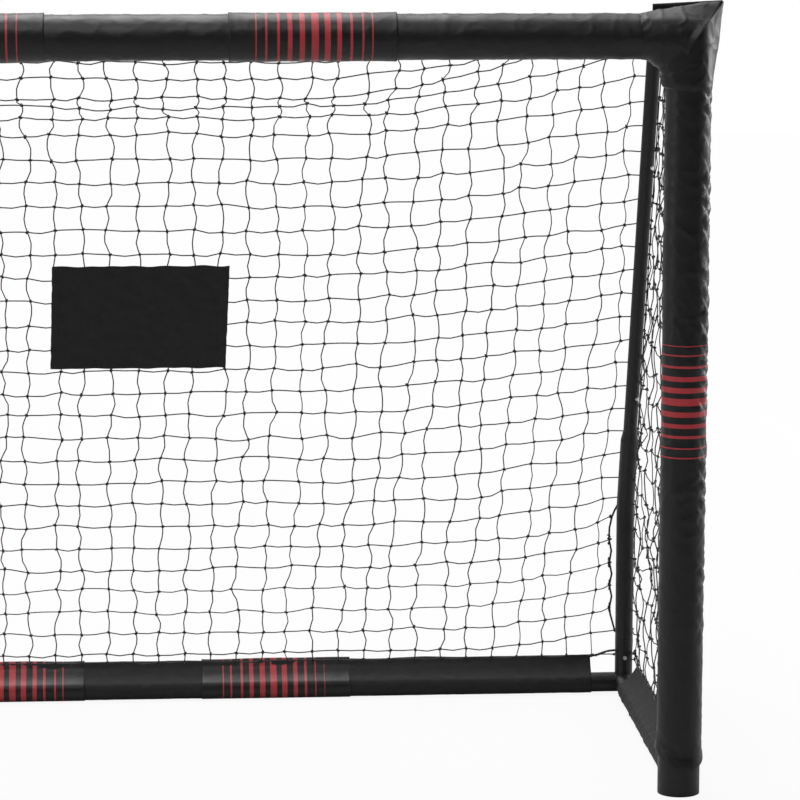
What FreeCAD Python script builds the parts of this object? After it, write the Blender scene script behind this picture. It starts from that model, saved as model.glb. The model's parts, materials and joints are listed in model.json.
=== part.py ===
"""A garden goal: a steel tube frame in fabric sleeves with a knotted net.

Millimetres. X runs along the crossbar, Y from the mouth to the back, Z up.
The origin lies on the ground under the middle of the whole goal.
Right-hand pieces are modelled first and mirrored for the left-hand side.
"""
import FreeCAD
import Part
import math
import os
import re
import Sketcher
from FreeCAD import Placement, Rotation, Vector

doc = FreeCAD.newDocument("garden_goal")
sheet = doc.addObject("Spreadsheet::Sheet", "sizes")

SIZES = [
    ("overall_height", 1520, "ground to the top of the crossbar sleeve"),
    ("post_spacing", 2087, "between the axes of the posts"),
    ("goal_depth", 820, "post axis to rear bar axis"),
    ("roof_reach", 446, "post axis to the corner of the roof tube"),
    ("leg_bend_height", 415, "where the leaning stay meets the upright leg"),
    ("tube_wall", 1.5, "wall of every frame tube"),
    ("post_diameter", 82, "posts and crossbar"),
    ("bar_diameter", 42, "ground tubes"),
    ("leg_diameter", 38, "upright rear leg"),
    ("stay_diameter", 29, "leaning stay and roof tube"),
    ("spigot_clearance", 0.25, "radial play of a push-fit end"),
    ("post_spigot_length", 80, "push-fit ends of posts and crossbar"),
    ("bar_spigot_length", 60, "push-fit ends of the ground tubes"),
    ("stay_spigot_length", 75, "push-fit ends of stays and legs"),
    ("swage_length", 5, "taper between a tube and its push-fit end"),
    ("end_gap", 0.3, "gap between a tube's end and the shoulder it meets"),
    ("corner_arm", 64, "arms of the top corner from its middle"),
    ("post_joint_height", 720, "joint between the two post tubes"),
    ("foot_plug_height", 16, "plug in the foot of the post"),
    ("ground_corner_arm", 105, "arms of the rear ground corner from its middle"),
    ("leg_socket_height", 120, "top of the upright socket on the ground corner"),
    ("leg_bend_radius", 130, "centre line of the bend in the leg"),
    ("roof_bend_radius", 60, "centre line of the bend in the roof tube"),
    ("leg_neck_station", 160, "along the stay line, where the leg starts to narrow"),
    ("leg_neck_length", 24, "taper from leg to stay diameter"),
    ("stay_lower_joint", 307, "along the stay line, leg to stay"),
    ("stay_upper_joint", 848, "along the stay line, stay to roof tube"),
    ("button_setback", 40, "from a joint to the middle of its button"),
    ("button_diameter", 8, "snap button"),
    ("button_clearance", 0.06, "radial play of the button in its holes"),
    ("button_proud", 4, "how far the button stands out of the tube"),
    ("button_length", 9, "snap button from the leaf to its outer end"),
    ("button_turn", 34, "how far the stay buttons are turned outwards, degrees"),
    ("spring_thickness", 0.8, "leaf of the button spring"),
    ("spring_width", 7, "leaf of the button spring"),
    ("spring_length", 30, "from button to fold of the spring"),
    ("spring_tail", 9, "leaf past the button"),
    ("sleeve_clearance", 0.3, "between a tube and its sleeve"),
    ("sleeve_thickness", 2.7, "padded sleeve of posts and crossbar"),
    ("sleeve_hem_height", 72, "lower hem of the post sleeve"),
    ("hood_depth", 96, "how far the corner hood reaches along each tube"),
    ("hood_window", 17, "radius of the opening for the roof tube"),
    ("cuff_thickness", 1.6, "striped band round a sleeve"),
    ("cross_cuff_near", 172, "near end of the crossbar's striped band"),
    ("cross_cuff_far", 488, "far end of the crossbar's striped band"),
    ("hem_thickness", 1.5, "fabric round the ground tubes"),
    ("hem_height", 80, "top edge of the hems round the ground tubes"),
    ("hem_ridge", 3.4, "sewn top edge of a hem"),
    ("rear_hem_margin", 71.5, "end of the rear hem from the corner's axis"),
    ("side_hem_start", 62, "front end of a side hem from the post axis"),
    ("side_hem_margin", 78, "rear end of a side hem from the rear bar's axis"),
    ("bar_cuff_near", 126, "near end of the rear bar's striped band"),
    ("bar_cuff_far", 447, "far end of the rear bar's striped band"),
    ("slack_reach", 408, "post axis to the upper rear edge of the net's slack middle"),
    ("slack_drop", 218, "crossbar axis down to that edge"),
    ("upper_sag_reach", 197, "post axis to the first row of the slack roof"),
    ("upper_sag_drop", 62, "crossbar axis down to that row"),
    ("lower_sag_reach", 290, "post axis to the second row of the slack roof"),
    ("lower_sag_drop", 144, "crossbar axis down to that row"),
    ("slack_middle", 35, "share of the half width over which the net hangs free, percent"),
    ("tube_clearance", 3, "from a leg's inner side to where the net starts to sag"),
    ("net_thickness", 3, "thickness of the net's twine"),
    ("net_twine", 3.6, "width of the net's twine"),
    ("net_border", 7, "width of the net's border cord"),
    ("net_columns", 17, "gaps across the goal"),
    ("roof_rows", 3, "gaps along the net's roof"),
    ("back_rows", 9, "gaps down the net's back"),
    ("foot_rows", 2, "gaps down the foot of the net"),
    ("side_columns", 6, "gaps along a side net"),
    ("side_rows", 11, "gaps up a side net"),
    ("banner_width", 360, "fabric panel on the back net"),
    ("banner_drop", 235, "fabric panel on the back net"),
    ("banner_station", 840, "from the hem up the slack net to the middle of the panel"),
    ("banner_thickness", 1.5, "fabric panel on the back net"),
    ("cord_diameter", 7, "lacing cord beside each leg"),
]

for row, (name, amount, note) in enumerate(SIZES, start=1):
    sheet.set(f"A{row}", name)
    sheet.set(f"B{row}", str(amount))
    sheet.set(f"C{row}", note)
    sheet.setAlias(f"B{row}", name)
doc.recompute()

ALIASES = re.compile(r"\b(" + "|".join(name for name, _, _ in SIZES) + r")\b")


def linked(expression):
    """The expression with each size read from the sheet."""
    return ALIASES.sub(r"sizes.\1", str(expression))


def amount_of(expression):
    """The number that an expression of sizes comes to."""
    result = sheet.evalExpression(linked(expression))
    return float(getattr(result, "Value", result))


# Places that several pieces share, as expressions of the sizes.
SLEEVE_RADIUS = "(post_diameter / 2 + sleeve_clearance + sleeve_thickness)"
SLEEVE_BORE = "(post_diameter / 2 + sleeve_clearance)"
CROSS_Z = f"(overall_height - {SLEEVE_RADIUS})"
POST_X = "(post_spacing / 2)"
HEM_RADIUS = "(bar_diameter / 2 + sleeve_clearance + hem_thickness)"
HEM_BORE = "(bar_diameter / 2 + sleeve_clearance)"
BAR_Z = HEM_RADIUS
FRONT_REACH = f"({SLEEVE_RADIUS} + sleeve_clearance + cuff_thickness)"
BACK_REACH = f"(goal_depth + {HEM_RADIUS} + sleeve_clearance + cuff_thickness)"
FRONT_Y = f"(({FRONT_REACH} - {BACK_REACH}) / 2)"
SHOULDER_Z = f"({CROSS_Z} - corner_arm)"

LEAN = math.atan2(
    amount_of("goal_depth - roof_reach"),
    amount_of(f"{CROSS_Z} - leg_bend_height"),
)
LEAN_DEG = f"atan((goal_depth - roof_reach) / ({CROSS_Z} - leg_bend_height))"
ROOF_STATION = f"(({CROSS_Z} - leg_bend_height) / cos({LEAN_DEG}))"
LEG_TANGENT = f"(leg_bend_radius * tan({LEAN_DEG} / 2))"
ROOF_TURN = f"(90 deg - {LEAN_DEG})"
ROOF_TANGENT = f"(roof_bend_radius * tan({ROOF_TURN} / 2))"
NET_OFFSET = "(leg_diameter / 2 + end_gap + net_thickness / 2)"

UPRIGHT = Rotation()
SLOPED = Rotation(Vector(1, 0, 0), math.degrees(LEAN))

node_names = []


def plane_of(body, role):
    """One of the body's own origin planes."""
    return [p for p in body.Origin.OriginFeatures if p.Role == role][0]


def new_body(name, base=None, placement=None):
    """A body at a place bound to the sizes, or at a turned placement."""
    body = doc.addObject("PartDesign::Body", name)
    body.Label = name
    if placement is not None:
        body.Placement = placement
    for letter, expression in zip("xyz", base or ()):
        body.setExpression(f"Placement.Base.{letter}", linked(expression))
    return body


def new_sketch(body, role, lift="0", shift=("0", "0"), turn=None):
    """A sketch on an origin plane, lifted along its normal and turned in it."""
    sketch = body.newObject("Sketcher::SketchObject", f"{body.Name}_outline")
    sketch.AttachmentSupport = (plane_of(body, role), [""])
    sketch.MapMode = "FlatFace"
    sketch.setExpression("AttachmentOffset.Base.x", linked(shift[0]))
    sketch.setExpression("AttachmentOffset.Base.y", linked(shift[1]))
    sketch.setExpression("AttachmentOffset.Base.z", linked(lift))
    if turn is not None:
        sketch.setExpression("AttachmentOffset.Rotation.Angle", linked(turn))
    return sketch


def pin_point(sketch, geometry, point, place):
    """Holds a sketch point at the two expressions of its place."""
    for kind, expression in zip(("DistanceX", "DistanceY"), place):
        index = sketch.addConstraint(
            Sketcher.Constraint(kind, -1, 1, geometry, point, amount_of(expression)))
        sketch.setExpression(f"Constraints[{index}]", linked(expression))


def add_outline(sketch, corners):
    """A closed outline of straight edges through the corners."""
    first = sketch.GeometryCount
    places = [Vector(amount_of(x), amount_of(y), 0) for x, y in corners]
    count = len(corners)
    for index in range(count):
        edge = Part.LineSegment(places[index], places[(index + 1) % count])
        sketch.addGeometry(edge)
    for index in range(count):
        following = first + (index + 1) % count
        sketch.addConstraint(
            Sketcher.Constraint("Coincident", first + index, 2, following, 1))
    for index, corner in enumerate(corners):
        pin_point(sketch, first + index, 1, corner)


def add_circle(sketch, radius, centre=("0", "0")):
    """A circle whose radius and centre are bound to the sizes."""
    middle = Vector(amount_of(centre[0]), amount_of(centre[1]), 0)
    index = sketch.addGeometry(Part.Circle(middle, Vector(0, 0, 1), amount_of(radius)))
    bound = sketch.addConstraint(
        Sketcher.Constraint("Radius", index, amount_of(radius)))
    sketch.setExpression(f"Constraints[{bound}]", linked(radius))
    pin_point(sketch, index, 3, centre)


def turned(body, corners, role="XZ_Plane", cut=False, **where):
    """A turned form: corners are (radius, station) about the sketch's upright axis."""
    sketch = new_sketch(body, role, **where)
    add_outline(sketch, corners)
    kind = "PartDesign::Groove" if cut else "PartDesign::Revolution"
    feature = body.newObject(kind, f"{body.Name}_turned")
    feature.Profile = sketch
    feature.ReferenceAxis = (sketch, ["V_Axis"])
    feature.Angle = 360
    doc.recompute()
    return feature


def padded(body, role, length, circles=(), corners=None, cut=False, back=False, **where):
    """A pad or pocket of circles or of one straight-edged outline."""
    sketch = new_sketch(body, role, **where)
    for radius, centre in circles:
        add_circle(sketch, radius, centre)
    if corners:
        add_outline(sketch, corners)
    kind = "PartDesign::Pocket" if cut else "PartDesign::Pad"
    feature = body.newObject(kind, f"{body.Name}_pad")
    feature.Profile = sketch
    feature.Reversed = back
    feature.setExpression("Length", linked(length))
    before = 0 if feature.BaseFeature is None else feature.BaseFeature.Shape.Volume
    doc.recompute()
    if cut and feature.Shape.Volume >= before - 1e-6:
        raise ValueError(f"{body.Label}: a pocket points away from the solid")
    return feature


def bent(body, role, radii, centre, axis_at, angle, along_x=True, back=False,
         lift="0", cut=False):
    """Part of a tube bend: circles turned about an axis in the sketch."""
    sketch = new_sketch(body, role, lift=lift)
    for radius in radii:
        add_circle(sketch, radius, centre)
    if along_x:
        start = Vector(0, amount_of(axis_at), 0)
        end = start + Vector(amount_of("tube_wall"), 0, 0)
        ends = (("0", axis_at), ("tube_wall", axis_at))
    else:
        start = Vector(amount_of(axis_at), 0, 0)
        end = start + Vector(0, amount_of("tube_wall"), 0)
        ends = ((axis_at, "0"), (axis_at, "tube_wall"))
    line = sketch.addGeometry(Part.LineSegment(start, end), True)
    pin_point(sketch, line, 1, ends[0])
    pin_point(sketch, line, 2, ends[1])
    kind = "PartDesign::Groove" if cut else "PartDesign::Revolution"
    feature = body.newObject(kind, f"{body.Name}_bend")
    feature.Profile = sketch
    feature.ReferenceAxis = (sketch, ["Axis0"])
    feature.setExpression("Angle", linked(angle))
    feature.Reversed = back
    doc.recompute()
    return feature


def mirrored(piece, name):
    """The left-hand twin of a right-hand piece."""
    twin = doc.addObject("Part::Mirroring", name)
    twin.Label = name
    twin.Source = piece
    twin.Normal = (1, 0, 0)
    twin.Base = (0, 0, 0)
    node_names.append(name)
    return twin


def both_sides(piece, name):
    """Keeps a right-hand piece and its mirrored twin."""
    piece.Label = f"{name}_right"
    node_names.append(f"{name}_right")
    mirrored(piece, f"{name}_left")


def single(piece):
    """Keeps a piece that the goal has once."""
    node_names.append(piece.Label)


def spigot_places(outer, shoulder, length, towards):
    """Radii and stations of a tube's swaged push-fit end."""
    back = "-" if towards == "+" else "+"
    inner = f"({outer} - tube_wall)"
    fit = f"({inner} - spigot_clearance)"
    bore = f"({fit} - tube_wall)"
    narrow = f"({shoulder} {back} tube_wall)"
    wide = f"({narrow} {back} swage_length)"
    end = f"({shoulder} {towards} {length})"
    return inner, fit, bore, narrow, wide, end


def tube_with_spigot(outer, plain_end, shoulder, length, towards):
    """Half section of a tube with a plain end and a swaged push-fit end."""
    inner, fit, bore, narrow, wide, end = spigot_places(outer, shoulder, length, towards)
    return [
        (outer, plain_end), (outer, shoulder), (fit, shoulder), (fit, end),
        (bore, end), (bore, narrow), (inner, wide), (inner, plain_end),
    ]


def plain_tube(outer, low, high):
    """Half section of a tube with two plain ends."""
    inner = f"({outer} - tube_wall)"
    return [(outer, low), (outer, high), (inner, high), (inner, low)]


def stay_place(station, x="0"):
    """A point on the stay line, measured up from the bend of the leg."""
    along = amount_of(station)
    return Vector(
        amount_of(f"{POST_X} + {x}"),
        amount_of(f"{FRONT_Y} + goal_depth") - along * math.sin(LEAN),
        amount_of("leg_bend_height") + along * math.cos(LEAN),
    )


def leg_place(height):
    """A point on the axis of the upright leg."""
    return Vector(amount_of(POST_X), amount_of(f"{FRONT_Y} + goal_depth"),
                  amount_of(height))


def drilled(piece, name, holes):
    """The piece with one radial hole for each button, through one wall."""
    result = piece
    for index, (place, turn, reach) in enumerate(holes):
        drill = doc.addObject("Part::Cylinder", f"{name}_drill_{index}")
        drill.setExpression("Radius", linked("button_diameter / 2 + button_clearance"))
        drill.setExpression("Height", linked(reach))
        drill.Placement = Placement(place, turn)
        cut = doc.addObject("Part::Cut", f"{name}_drilled_{index}")
        cut.Base = result
        cut.Tool = drill
        result = cut
    doc.recompute()
    return result


POST = "(post_diameter / 2)"
BAR = "(bar_diameter / 2)"
LEG = "(leg_diameter / 2)"
STAY = "(stay_diameter / 2)"

# A drill's own axis points at the mouth and, on the stay, turns outwards.
FACING_FRONT = Rotation(Vector(1, 0, 0), 90)
STAY_TURN = Rotation(Vector(0, 0, 1), amount_of("button_turn"))
STAY_FACING = SLOPED.multiply(STAY_TURN).multiply(FACING_FRONT)
LEG_FACING = UPRIGHT.multiply(FACING_FRONT)

BUTTONS = [
    ("roof_button", stay_place("stay_upper_joint - button_setback"), STAY_FACING, STAY),
    ("stay_button", stay_place("stay_lower_joint - button_setback"), STAY_FACING, STAY),
    ("leg_button", leg_place("leg_socket_height - button_setback"), LEG_FACING, LEG),
]


def make_posts():
    """Two tubes for each post, the lower one with the stub for the side tube."""
    base = (POST_X, FRONT_Y, "0")
    lower = new_body("post_lower", base)
    turned(lower, [("0", "0"), (POST, "0"), (POST, "post_joint_height"),
                   ("0", "post_joint_height")])
    stub = f"({BAR} - tube_wall - spigot_clearance)"
    padded(lower, "XZ_Plane", f"{POST} + bar_spigot_length", circles=[(stub, ("0", BAR_Z))],
           back=True)
    turned(lower, [("0", "(-tube_wall)"), (f"({POST} - tube_wall)", "(-tube_wall)"),
                   (f"({POST} - tube_wall)", "(post_joint_height + tube_wall)"),
                   ("0", "(post_joint_height + tube_wall)")], cut=True)
    padded(lower, "XZ_Plane", f"{POST} + bar_spigot_length + 1",
           circles=[(f"({stub} - tube_wall)", ("0", BAR_Z))], back=False, cut=True)
    both_sides(lower, "post_lower")

    upper = new_body("post_upper", base)
    shoulder = "(post_joint_height + end_gap)"
    turned(upper, tube_with_spigot(POST, f"({SHOULDER_Z} - end_gap)", shoulder,
                                   "post_spigot_length", "-"))
    both_sides(upper, "post_upper")

    foot = new_body("foot_plug", base)
    plug = f"({POST} - tube_wall - spigot_clearance)"
    padded(foot, "XY_Plane", "foot_plug_height", circles=[(plug, ("0", "0"))])
    both_sides(foot, "foot_plug")


def mitred(name, base, role, reach, arm_profile):
    """Two turned arms at right angles, each cut to the mitre and then joined."""
    arms = []
    for letter, turn, side in (("a", None, "-1"), ("b", "90 deg", "1")):
        arm = new_body(f"{name}_{letter}", base)
        turned(arm, arm_profile(side), role=role, turn=turn)
        far = f"({side} * {reach})"
        padded(arm, role, f"2 * {reach}", lift=reach, cut=True, corners=[
            (f"(-{reach})", f"(-{reach})"), (reach, reach), (far, f"(-{far})")])
        arms.append(arm)
    return arms


def joined(name, pieces):
    """One solid from overlapping or touching pieces."""
    union = doc.addObject("Part::MultiFuse", name)
    union.Shapes = pieces
    doc.recompute()
    return union


def hollowed(name, outside, inside):
    """The outside without the inside."""
    cut = doc.addObject("Part::Cut", name)
    cut.Base = outside
    cut.Tool = inside
    doc.recompute()
    return cut


def corner_arm_profile(outer, arm, length):
    """Outside of a corner's arm: its tube, shoulder and push-fit end."""
    fit = f"({outer} - tube_wall - spigot_clearance)"
    return lambda side: [
        ("0", f"(-{side} * {outer})"), (outer, f"(-{side} * {outer})"),
        (outer, f"({side} * {arm})"), (fit, f"({side} * {arm})"),
        (fit, f"({side} * ({arm} + {length}))"), ("0", f"({side} * ({arm} + {length}))"),
    ]


def corner_bore_profile(outer, arm, length):
    """Bore of a corner's arm, through its open end."""
    bore = f"({outer} - 2 * tube_wall - spigot_clearance)"
    return lambda side: [
        ("0", f"(-{side} * {outer})"), (bore, f"(-{side} * {outer})"),
        (bore, f"({side} * ({arm} + {length} + 1))"), ("0", f"({side} * ({arm} + {length} + 1))"),
    ]


def make_top_corners():
    """The mitred corner at the top of each post, with the stub for the roof tube."""
    base = (POST_X, FRONT_Y, CROSS_Z)
    fit = f"({STAY} - tube_wall - spigot_clearance)"
    stub = new_body("corner_stub", base)
    padded(stub, "XZ_Plane", f"{POST} + stay_spigot_length", circles=[(fit, ("0", "0"))], back=True)
    stub_bore = new_body("corner_stub_bore", base)
    padded(stub_bore, "XZ_Plane", f"{POST} + stay_spigot_length + 1",
           circles=[(f"({fit} - tube_wall)", ("0", "0"))], back=True)
    size = (POST, "corner_arm", "post_spigot_length")
    reach = f"({POST} + 1)"
    outside = mitred("corner_outside", base, "XZ_Plane", reach, corner_arm_profile(*size))
    bore = mitred("corner_bore", base, "XZ_Plane", reach, corner_bore_profile(*size))
    both_sides(hollowed("corner", joined("corner_body", outside + [stub]),
                        joined("corner_hollow", bore + [stub_bore])), "top_corner")


def make_crossbar():
    """Two tubes that meet in the middle of the crossbar."""
    far = f"({POST_X} - corner_arm - end_gap)"
    for name, side, profile in (
        ("crossbar_right", "-90 deg", tube_with_spigot(
            POST, far, "end_gap", "post_spigot_length", "-")),
        ("crossbar_left", "90 deg", plain_tube(POST, "0", far)),
    ):
        body = new_body(name, ("0", FRONT_Y, CROSS_Z))
        turned(body, profile, turn=side)
        single(body)


def make_ground_frame():
    """Side tubes, rear corners with their upright sockets, and the rear bar."""
    side = new_body("side_ground_tube", (POST_X, FRONT_Y, BAR_Z))
    turned(side, plain_tube(BAR, f"({POST} + end_gap)", "(goal_depth - ground_corner_arm - end_gap)"),
           role="XY_Plane")
    both_sides(side, "side_ground_tube")

    base = (POST_X, f"({FRONT_Y} + goal_depth)", BAR_Z)
    socket = new_body("ground_socket", base)
    padded(socket, "XY_Plane", f"leg_socket_height - {BAR_Z}", circles=[(LEG, ("0", "0"))])
    socket_bore = new_body("ground_socket_bore", base)
    padded(socket_bore, "XY_Plane", "leg_socket_height",
           circles=[(f"({LEG} - tube_wall)", ("0", "0"))],
           lift=f"(leg_socket_height - stay_spigot_length - {BAR_Z} - end_gap)")
    size = (BAR, "ground_corner_arm", "bar_spigot_length")
    reach = f"({BAR} + 1)"
    outside = mitred("ground_outside", base, "XY_Plane", reach, corner_arm_profile(*size))
    bore = mitred("ground_bore", base, "XY_Plane", reach, corner_bore_profile(*size))
    corner = hollowed("ground", joined("ground_body", outside + [socket]),
                      joined("ground_hollow", bore + [socket_bore]))
    place, facing = BUTTONS[2][1], BUTTONS[2][2]
    both_sides(drilled(corner, "ground_corner", [(place, facing, f"{LEG} + 4")]),
               "ground_corner")

    far = f"({POST_X} - ground_corner_arm - end_gap)"
    for name, turn, profile in (
        ("rear_bar_right", "-90 deg", tube_with_spigot(
            BAR, far, "end_gap", "bar_spigot_length", "-")),
        ("rear_bar_left", "90 deg", plain_tube(BAR, "0", far)),
    ):
        body = new_body(name, ("0", f"({FRONT_Y} + goal_depth)", BAR_Z))
        turned(body, profile, turn=turn)
        single(body)


def make_stays():
    """Roof tube, leaning stay and upright leg, each pushed into the next."""
    bend_at = ("goal_depth", "leg_bend_height")
    roof = new_body("roof_tube", (POST_X, FRONT_Y, "0"))
    turned(roof, plain_tube(STAY, f"({POST} + end_gap)", f"(roof_reach - {ROOF_TANGENT})"),
           role="YZ_Plane", shift=("0", CROSS_Z), turn="-90 deg")
    bent(roof, "XZ_Plane", [STAY, f"({STAY} - tube_wall)"], ("0", CROSS_Z),
         f"({CROSS_Z} - roof_bend_radius)", ROOF_TURN, back=True,
         lift=f"(-(roof_reach - {ROOF_TANGENT}))")
    turned(roof, tube_with_spigot(STAY, f"({ROOF_STATION} - {ROOF_TANGENT})",
                                  "stay_upper_joint", "stay_spigot_length", "-"),
           role="YZ_Plane", shift=bend_at, turn=LEAN_DEG)
    name, place, facing, _ = BUTTONS[0]
    both_sides(drilled(roof, "roof_tube", [(place, facing, f"{STAY} + 4")]), "roof_tube")

    stay = new_body("stay", (POST_X, FRONT_Y, "0"))
    turned(stay, tube_with_spigot(STAY, "(stay_upper_joint - end_gap)",
                                  "stay_lower_joint", "stay_spigot_length", "-"),
           role="YZ_Plane", shift=bend_at, turn=LEAN_DEG)
    holes = [(BUTTONS[0][1], STAY_FACING, f"{STAY} + 4"), (BUTTONS[1][1], STAY_FACING, f"{STAY} + 4")]
    both_sides(drilled(stay, "stay", holes), "stay")

    leg = new_body("leg", (POST_X, FRONT_Y, "0"))
    turned(leg, tube_with_spigot(LEG, f"(leg_bend_height - {LEG_TANGENT})",
                                 "leg_socket_height + end_gap", "stay_spigot_length", "-"),
           role="YZ_Plane", shift=("goal_depth", "0"))
    bent(leg, "XY_Plane", [LEG, f"({LEG} - tube_wall)"], ("0", "goal_depth"),
         "(goal_depth - leg_bend_radius)", LEAN_DEG, lift=f"(leg_bend_height - {LEG_TANGENT})")
    neck = "(leg_neck_station + leg_neck_length)"
    top = "(stay_lower_joint - end_gap)"
    turned(leg, [(LEG, LEG_TANGENT), (LEG, "leg_neck_station"), (STAY, neck), (STAY, top),
                 (f"({STAY} - tube_wall)", top), (f"({STAY} - tube_wall)", neck),
                 (f"({LEG} - tube_wall)", "leg_neck_station"),
                 (f"({LEG} - tube_wall)", LEG_TANGENT)],
           role="YZ_Plane", shift=bend_at, turn=LEAN_DEG)
    holes = [(BUTTONS[1][1], STAY_FACING, f"{STAY} + 4"), (BUTTONS[2][1], LEG_FACING, f"{LEG} + 4")]
    both_sides(drilled(leg, "leg", holes), "leg")


def make_buttons():
    """Snap buttons and the folded leaf springs that push them out."""
    for name, place, facing, tube in BUTTONS:
        inside = f"({tube} - 2 * tube_wall - spigot_clearance)"
        low = f"({tube} + button_proud - button_length)"
        button = new_body(name, placement=Placement(place, facing))
        padded(button, "XY_Plane", "button_length", lift=low,
               circles=[("(button_diameter / 2)", ("0", "0"))])
        both_sides(button, name)

        spring_name = name.replace("button", "spring")
        spring = new_body(spring_name, placement=Placement(place, facing))
        leaf_top = f"({low} - 0.1)"
        floor = f"(-sqrt({inside} ^ 2 - (spring_width / 2) ^ 2) + 0.3)"
        corners = [
            ("spring_tail", leaf_top), ("spring_tail", f"({leaf_top} - spring_thickness)"),
            ("(-spring_length + spring_thickness * 2)", "(-spring_thickness)"),
            ("spring_tail", f"({floor} + spring_thickness)"), ("spring_tail", floor),
            ("(-spring_length)", "(-spring_thickness * 2)"), ("(-spring_length)", "0"),
        ]
        padded(spring, "YZ_Plane", "spring_width", corners=corners,
               lift="(-spring_width / 2)")
        both_sides(spring, spring_name)


def make_sleeves():
    """Padded sleeves, corner hoods and striped bands of the front frame."""
    sleeve = new_body("crossbar_sleeve", ("0", FRONT_Y, CROSS_Z))
    half = f"({POST_X} - hood_depth)"
    padded(sleeve, "YZ_Plane", f"2 * {half}", lift=f"(-{half})",
           circles=[(SLEEVE_RADIUS, ("0", "0")), (SLEEVE_BORE, ("0", "0"))])
    single(sleeve)

    post = new_body("post_sleeve", (POST_X, FRONT_Y, "0"))
    padded(post, "XY_Plane", f"{CROSS_Z} - hood_depth - sleeve_hem_height",
           lift="sleeve_hem_height",
           circles=[(SLEEVE_RADIUS, ("0", "0")), (SLEEVE_BORE, ("0", "0"))])
    both_sides(post, "post_sleeve")

    base = (POST_X, FRONT_Y, CROSS_Z)
    reach = f"({SLEEVE_RADIUS} + 1)"
    outside = mitred("hood_outside", base, "XZ_Plane", reach, lambda side: [
        ("0", f"(-{side} * {SLEEVE_RADIUS})"), (SLEEVE_RADIUS, f"(-{side} * {SLEEVE_RADIUS})"),
        (SLEEVE_RADIUS, f"({side} * hood_depth)"), ("0", f"({side} * hood_depth)")])
    bore = mitred("hood_bore", base, "XZ_Plane", reach, lambda side: [
        ("0", f"(-{side} * {SLEEVE_RADIUS})"), (SLEEVE_BORE, f"(-{side} * {SLEEVE_RADIUS})"),
        (SLEEVE_BORE, f"({side} * (hood_depth + 1))"), ("0", f"({side} * (hood_depth + 1))")])
    window = new_body("hood_window_bore", base)
    padded(window, "XZ_Plane", f"{SLEEVE_RADIUS} + 1", circles=[("hood_window", ("0", "0"))],
           back=True)
    hood = hollowed("hood", joined("hood_body", outside), joined("hood_hollow", bore + [window]))
    both_sides(hood, "corner_hood")

    cuff = new_body("crossbar_cuff", ("0", FRONT_Y, CROSS_Z))
    inner = f"({SLEEVE_RADIUS} + sleeve_clearance)"
    padded(cuff, "YZ_Plane", "cross_cuff_far - cross_cuff_near", lift="cross_cuff_near",
           circles=[(f"({inner} + cuff_thickness)", ("0", "0")), (inner, ("0", "0"))])
    both_sides(cuff, "crossbar_cuff")


def hem_form(body, role, length, lift, side, grow="0"):
    """A hem round a ground tube, drawn up to a sewn edge on one side."""
    radius = f"({HEM_RADIUS} + {grow})" if grow != "0" else HEM_RADIUS
    padded(body, role, length, lift=lift, circles=[(radius, ("0", "0"))])
    top = f"(hem_height - {BAR_Z} + {grow})"
    padded(body, role, length, lift=lift, corners=[
        (f"({side} * {radius})", "0"), (f"({side} * {radius})", top),
        (f"({side} * ({radius} - hem_ridge - {grow}))", top),
        (f"(-{side} * {radius} * cos(45 deg))", f"({radius} * sin(45 deg))"), ("0", "0"),
    ])


def make_hems():
    """Fabric hems round the ground tubes, and the rear bar's striped bands."""
    rear_y = f"({FRONT_Y} + goal_depth)"
    rear = new_body("rear_hem", ("0", rear_y, BAR_Z))
    half = f"({POST_X} - rear_hem_margin)"
    hem_form(rear, "YZ_Plane", f"2 * {half}", f"(-{half})", "1")
    padded(rear, "YZ_Plane", f"2 * {half} + 2", lift=f"(-{half} - 1)",
           circles=[(HEM_BORE, ("0", "0"))], cut=True, back=True)
    single(rear)

    side = new_body("side_hem", (POST_X, FRONT_Y, BAR_Z))
    length = "(goal_depth - side_hem_margin - side_hem_start)"
    hem_form(side, "XZ_Plane", length, "(side_hem_margin - goal_depth)", "1")
    padded(side, "XZ_Plane", f"{length} + 2", lift="(side_hem_margin - goal_depth - 1)",
           circles=[(HEM_BORE, ("0", "0"))], cut=True, back=True)
    both_sides(side, "side_hem")


def make_cuffs():
    """Striped bands over the rear hem, which stand clear of the ground."""
    rear_y = f"({FRONT_Y} + goal_depth)"
    cuff = new_body("rear_cuff", ("0", rear_y, BAR_Z))
    gap = "sleeve_clearance"
    inner = f"({HEM_RADIUS} + {gap})"
    outer = f"({inner} + cuff_thickness)"
    top = f"(hem_height - {BAR_Z} + {gap})"
    length = "bar_cuff_far - bar_cuff_near"
    base = f"(-{HEM_RADIUS} / 2)"
    padded(cuff, "YZ_Plane", length, lift="bar_cuff_near", corners=[
        (outer, base), (outer, f"({top} + cuff_thickness)"),
        (f"({HEM_RADIUS} - hem_ridge - {gap} - cuff_thickness)", f"({top} + cuff_thickness)"),
        (f"(-{outer} * cos(45 deg) - cuff_thickness)", f"({outer} * sin(45 deg))"),
        (f"(-{outer})", f"({outer} * tan(22.5 deg))"), (f"(-{outer})", base),
    ])
    padded(cuff, "YZ_Plane", f"{length} + 2", lift="(bar_cuff_near - 1)", corners=[
        (inner, "(-2 * bar_diameter)"), (inner, top),
        (f"({HEM_RADIUS} - hem_ridge - {gap})", top),
        (f"(-{inner} * cos(45 deg) - {gap})", f"({inner} * sin(45 deg) + {gap})"),
        (f"(-{inner})", f"({inner} * tan(22.5 deg))"), (f"(-{inner})", "(-2 * bar_diameter)"),
    ], cut=True, back=True)
    both_sides(cuff, "rear_cuff")


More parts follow.
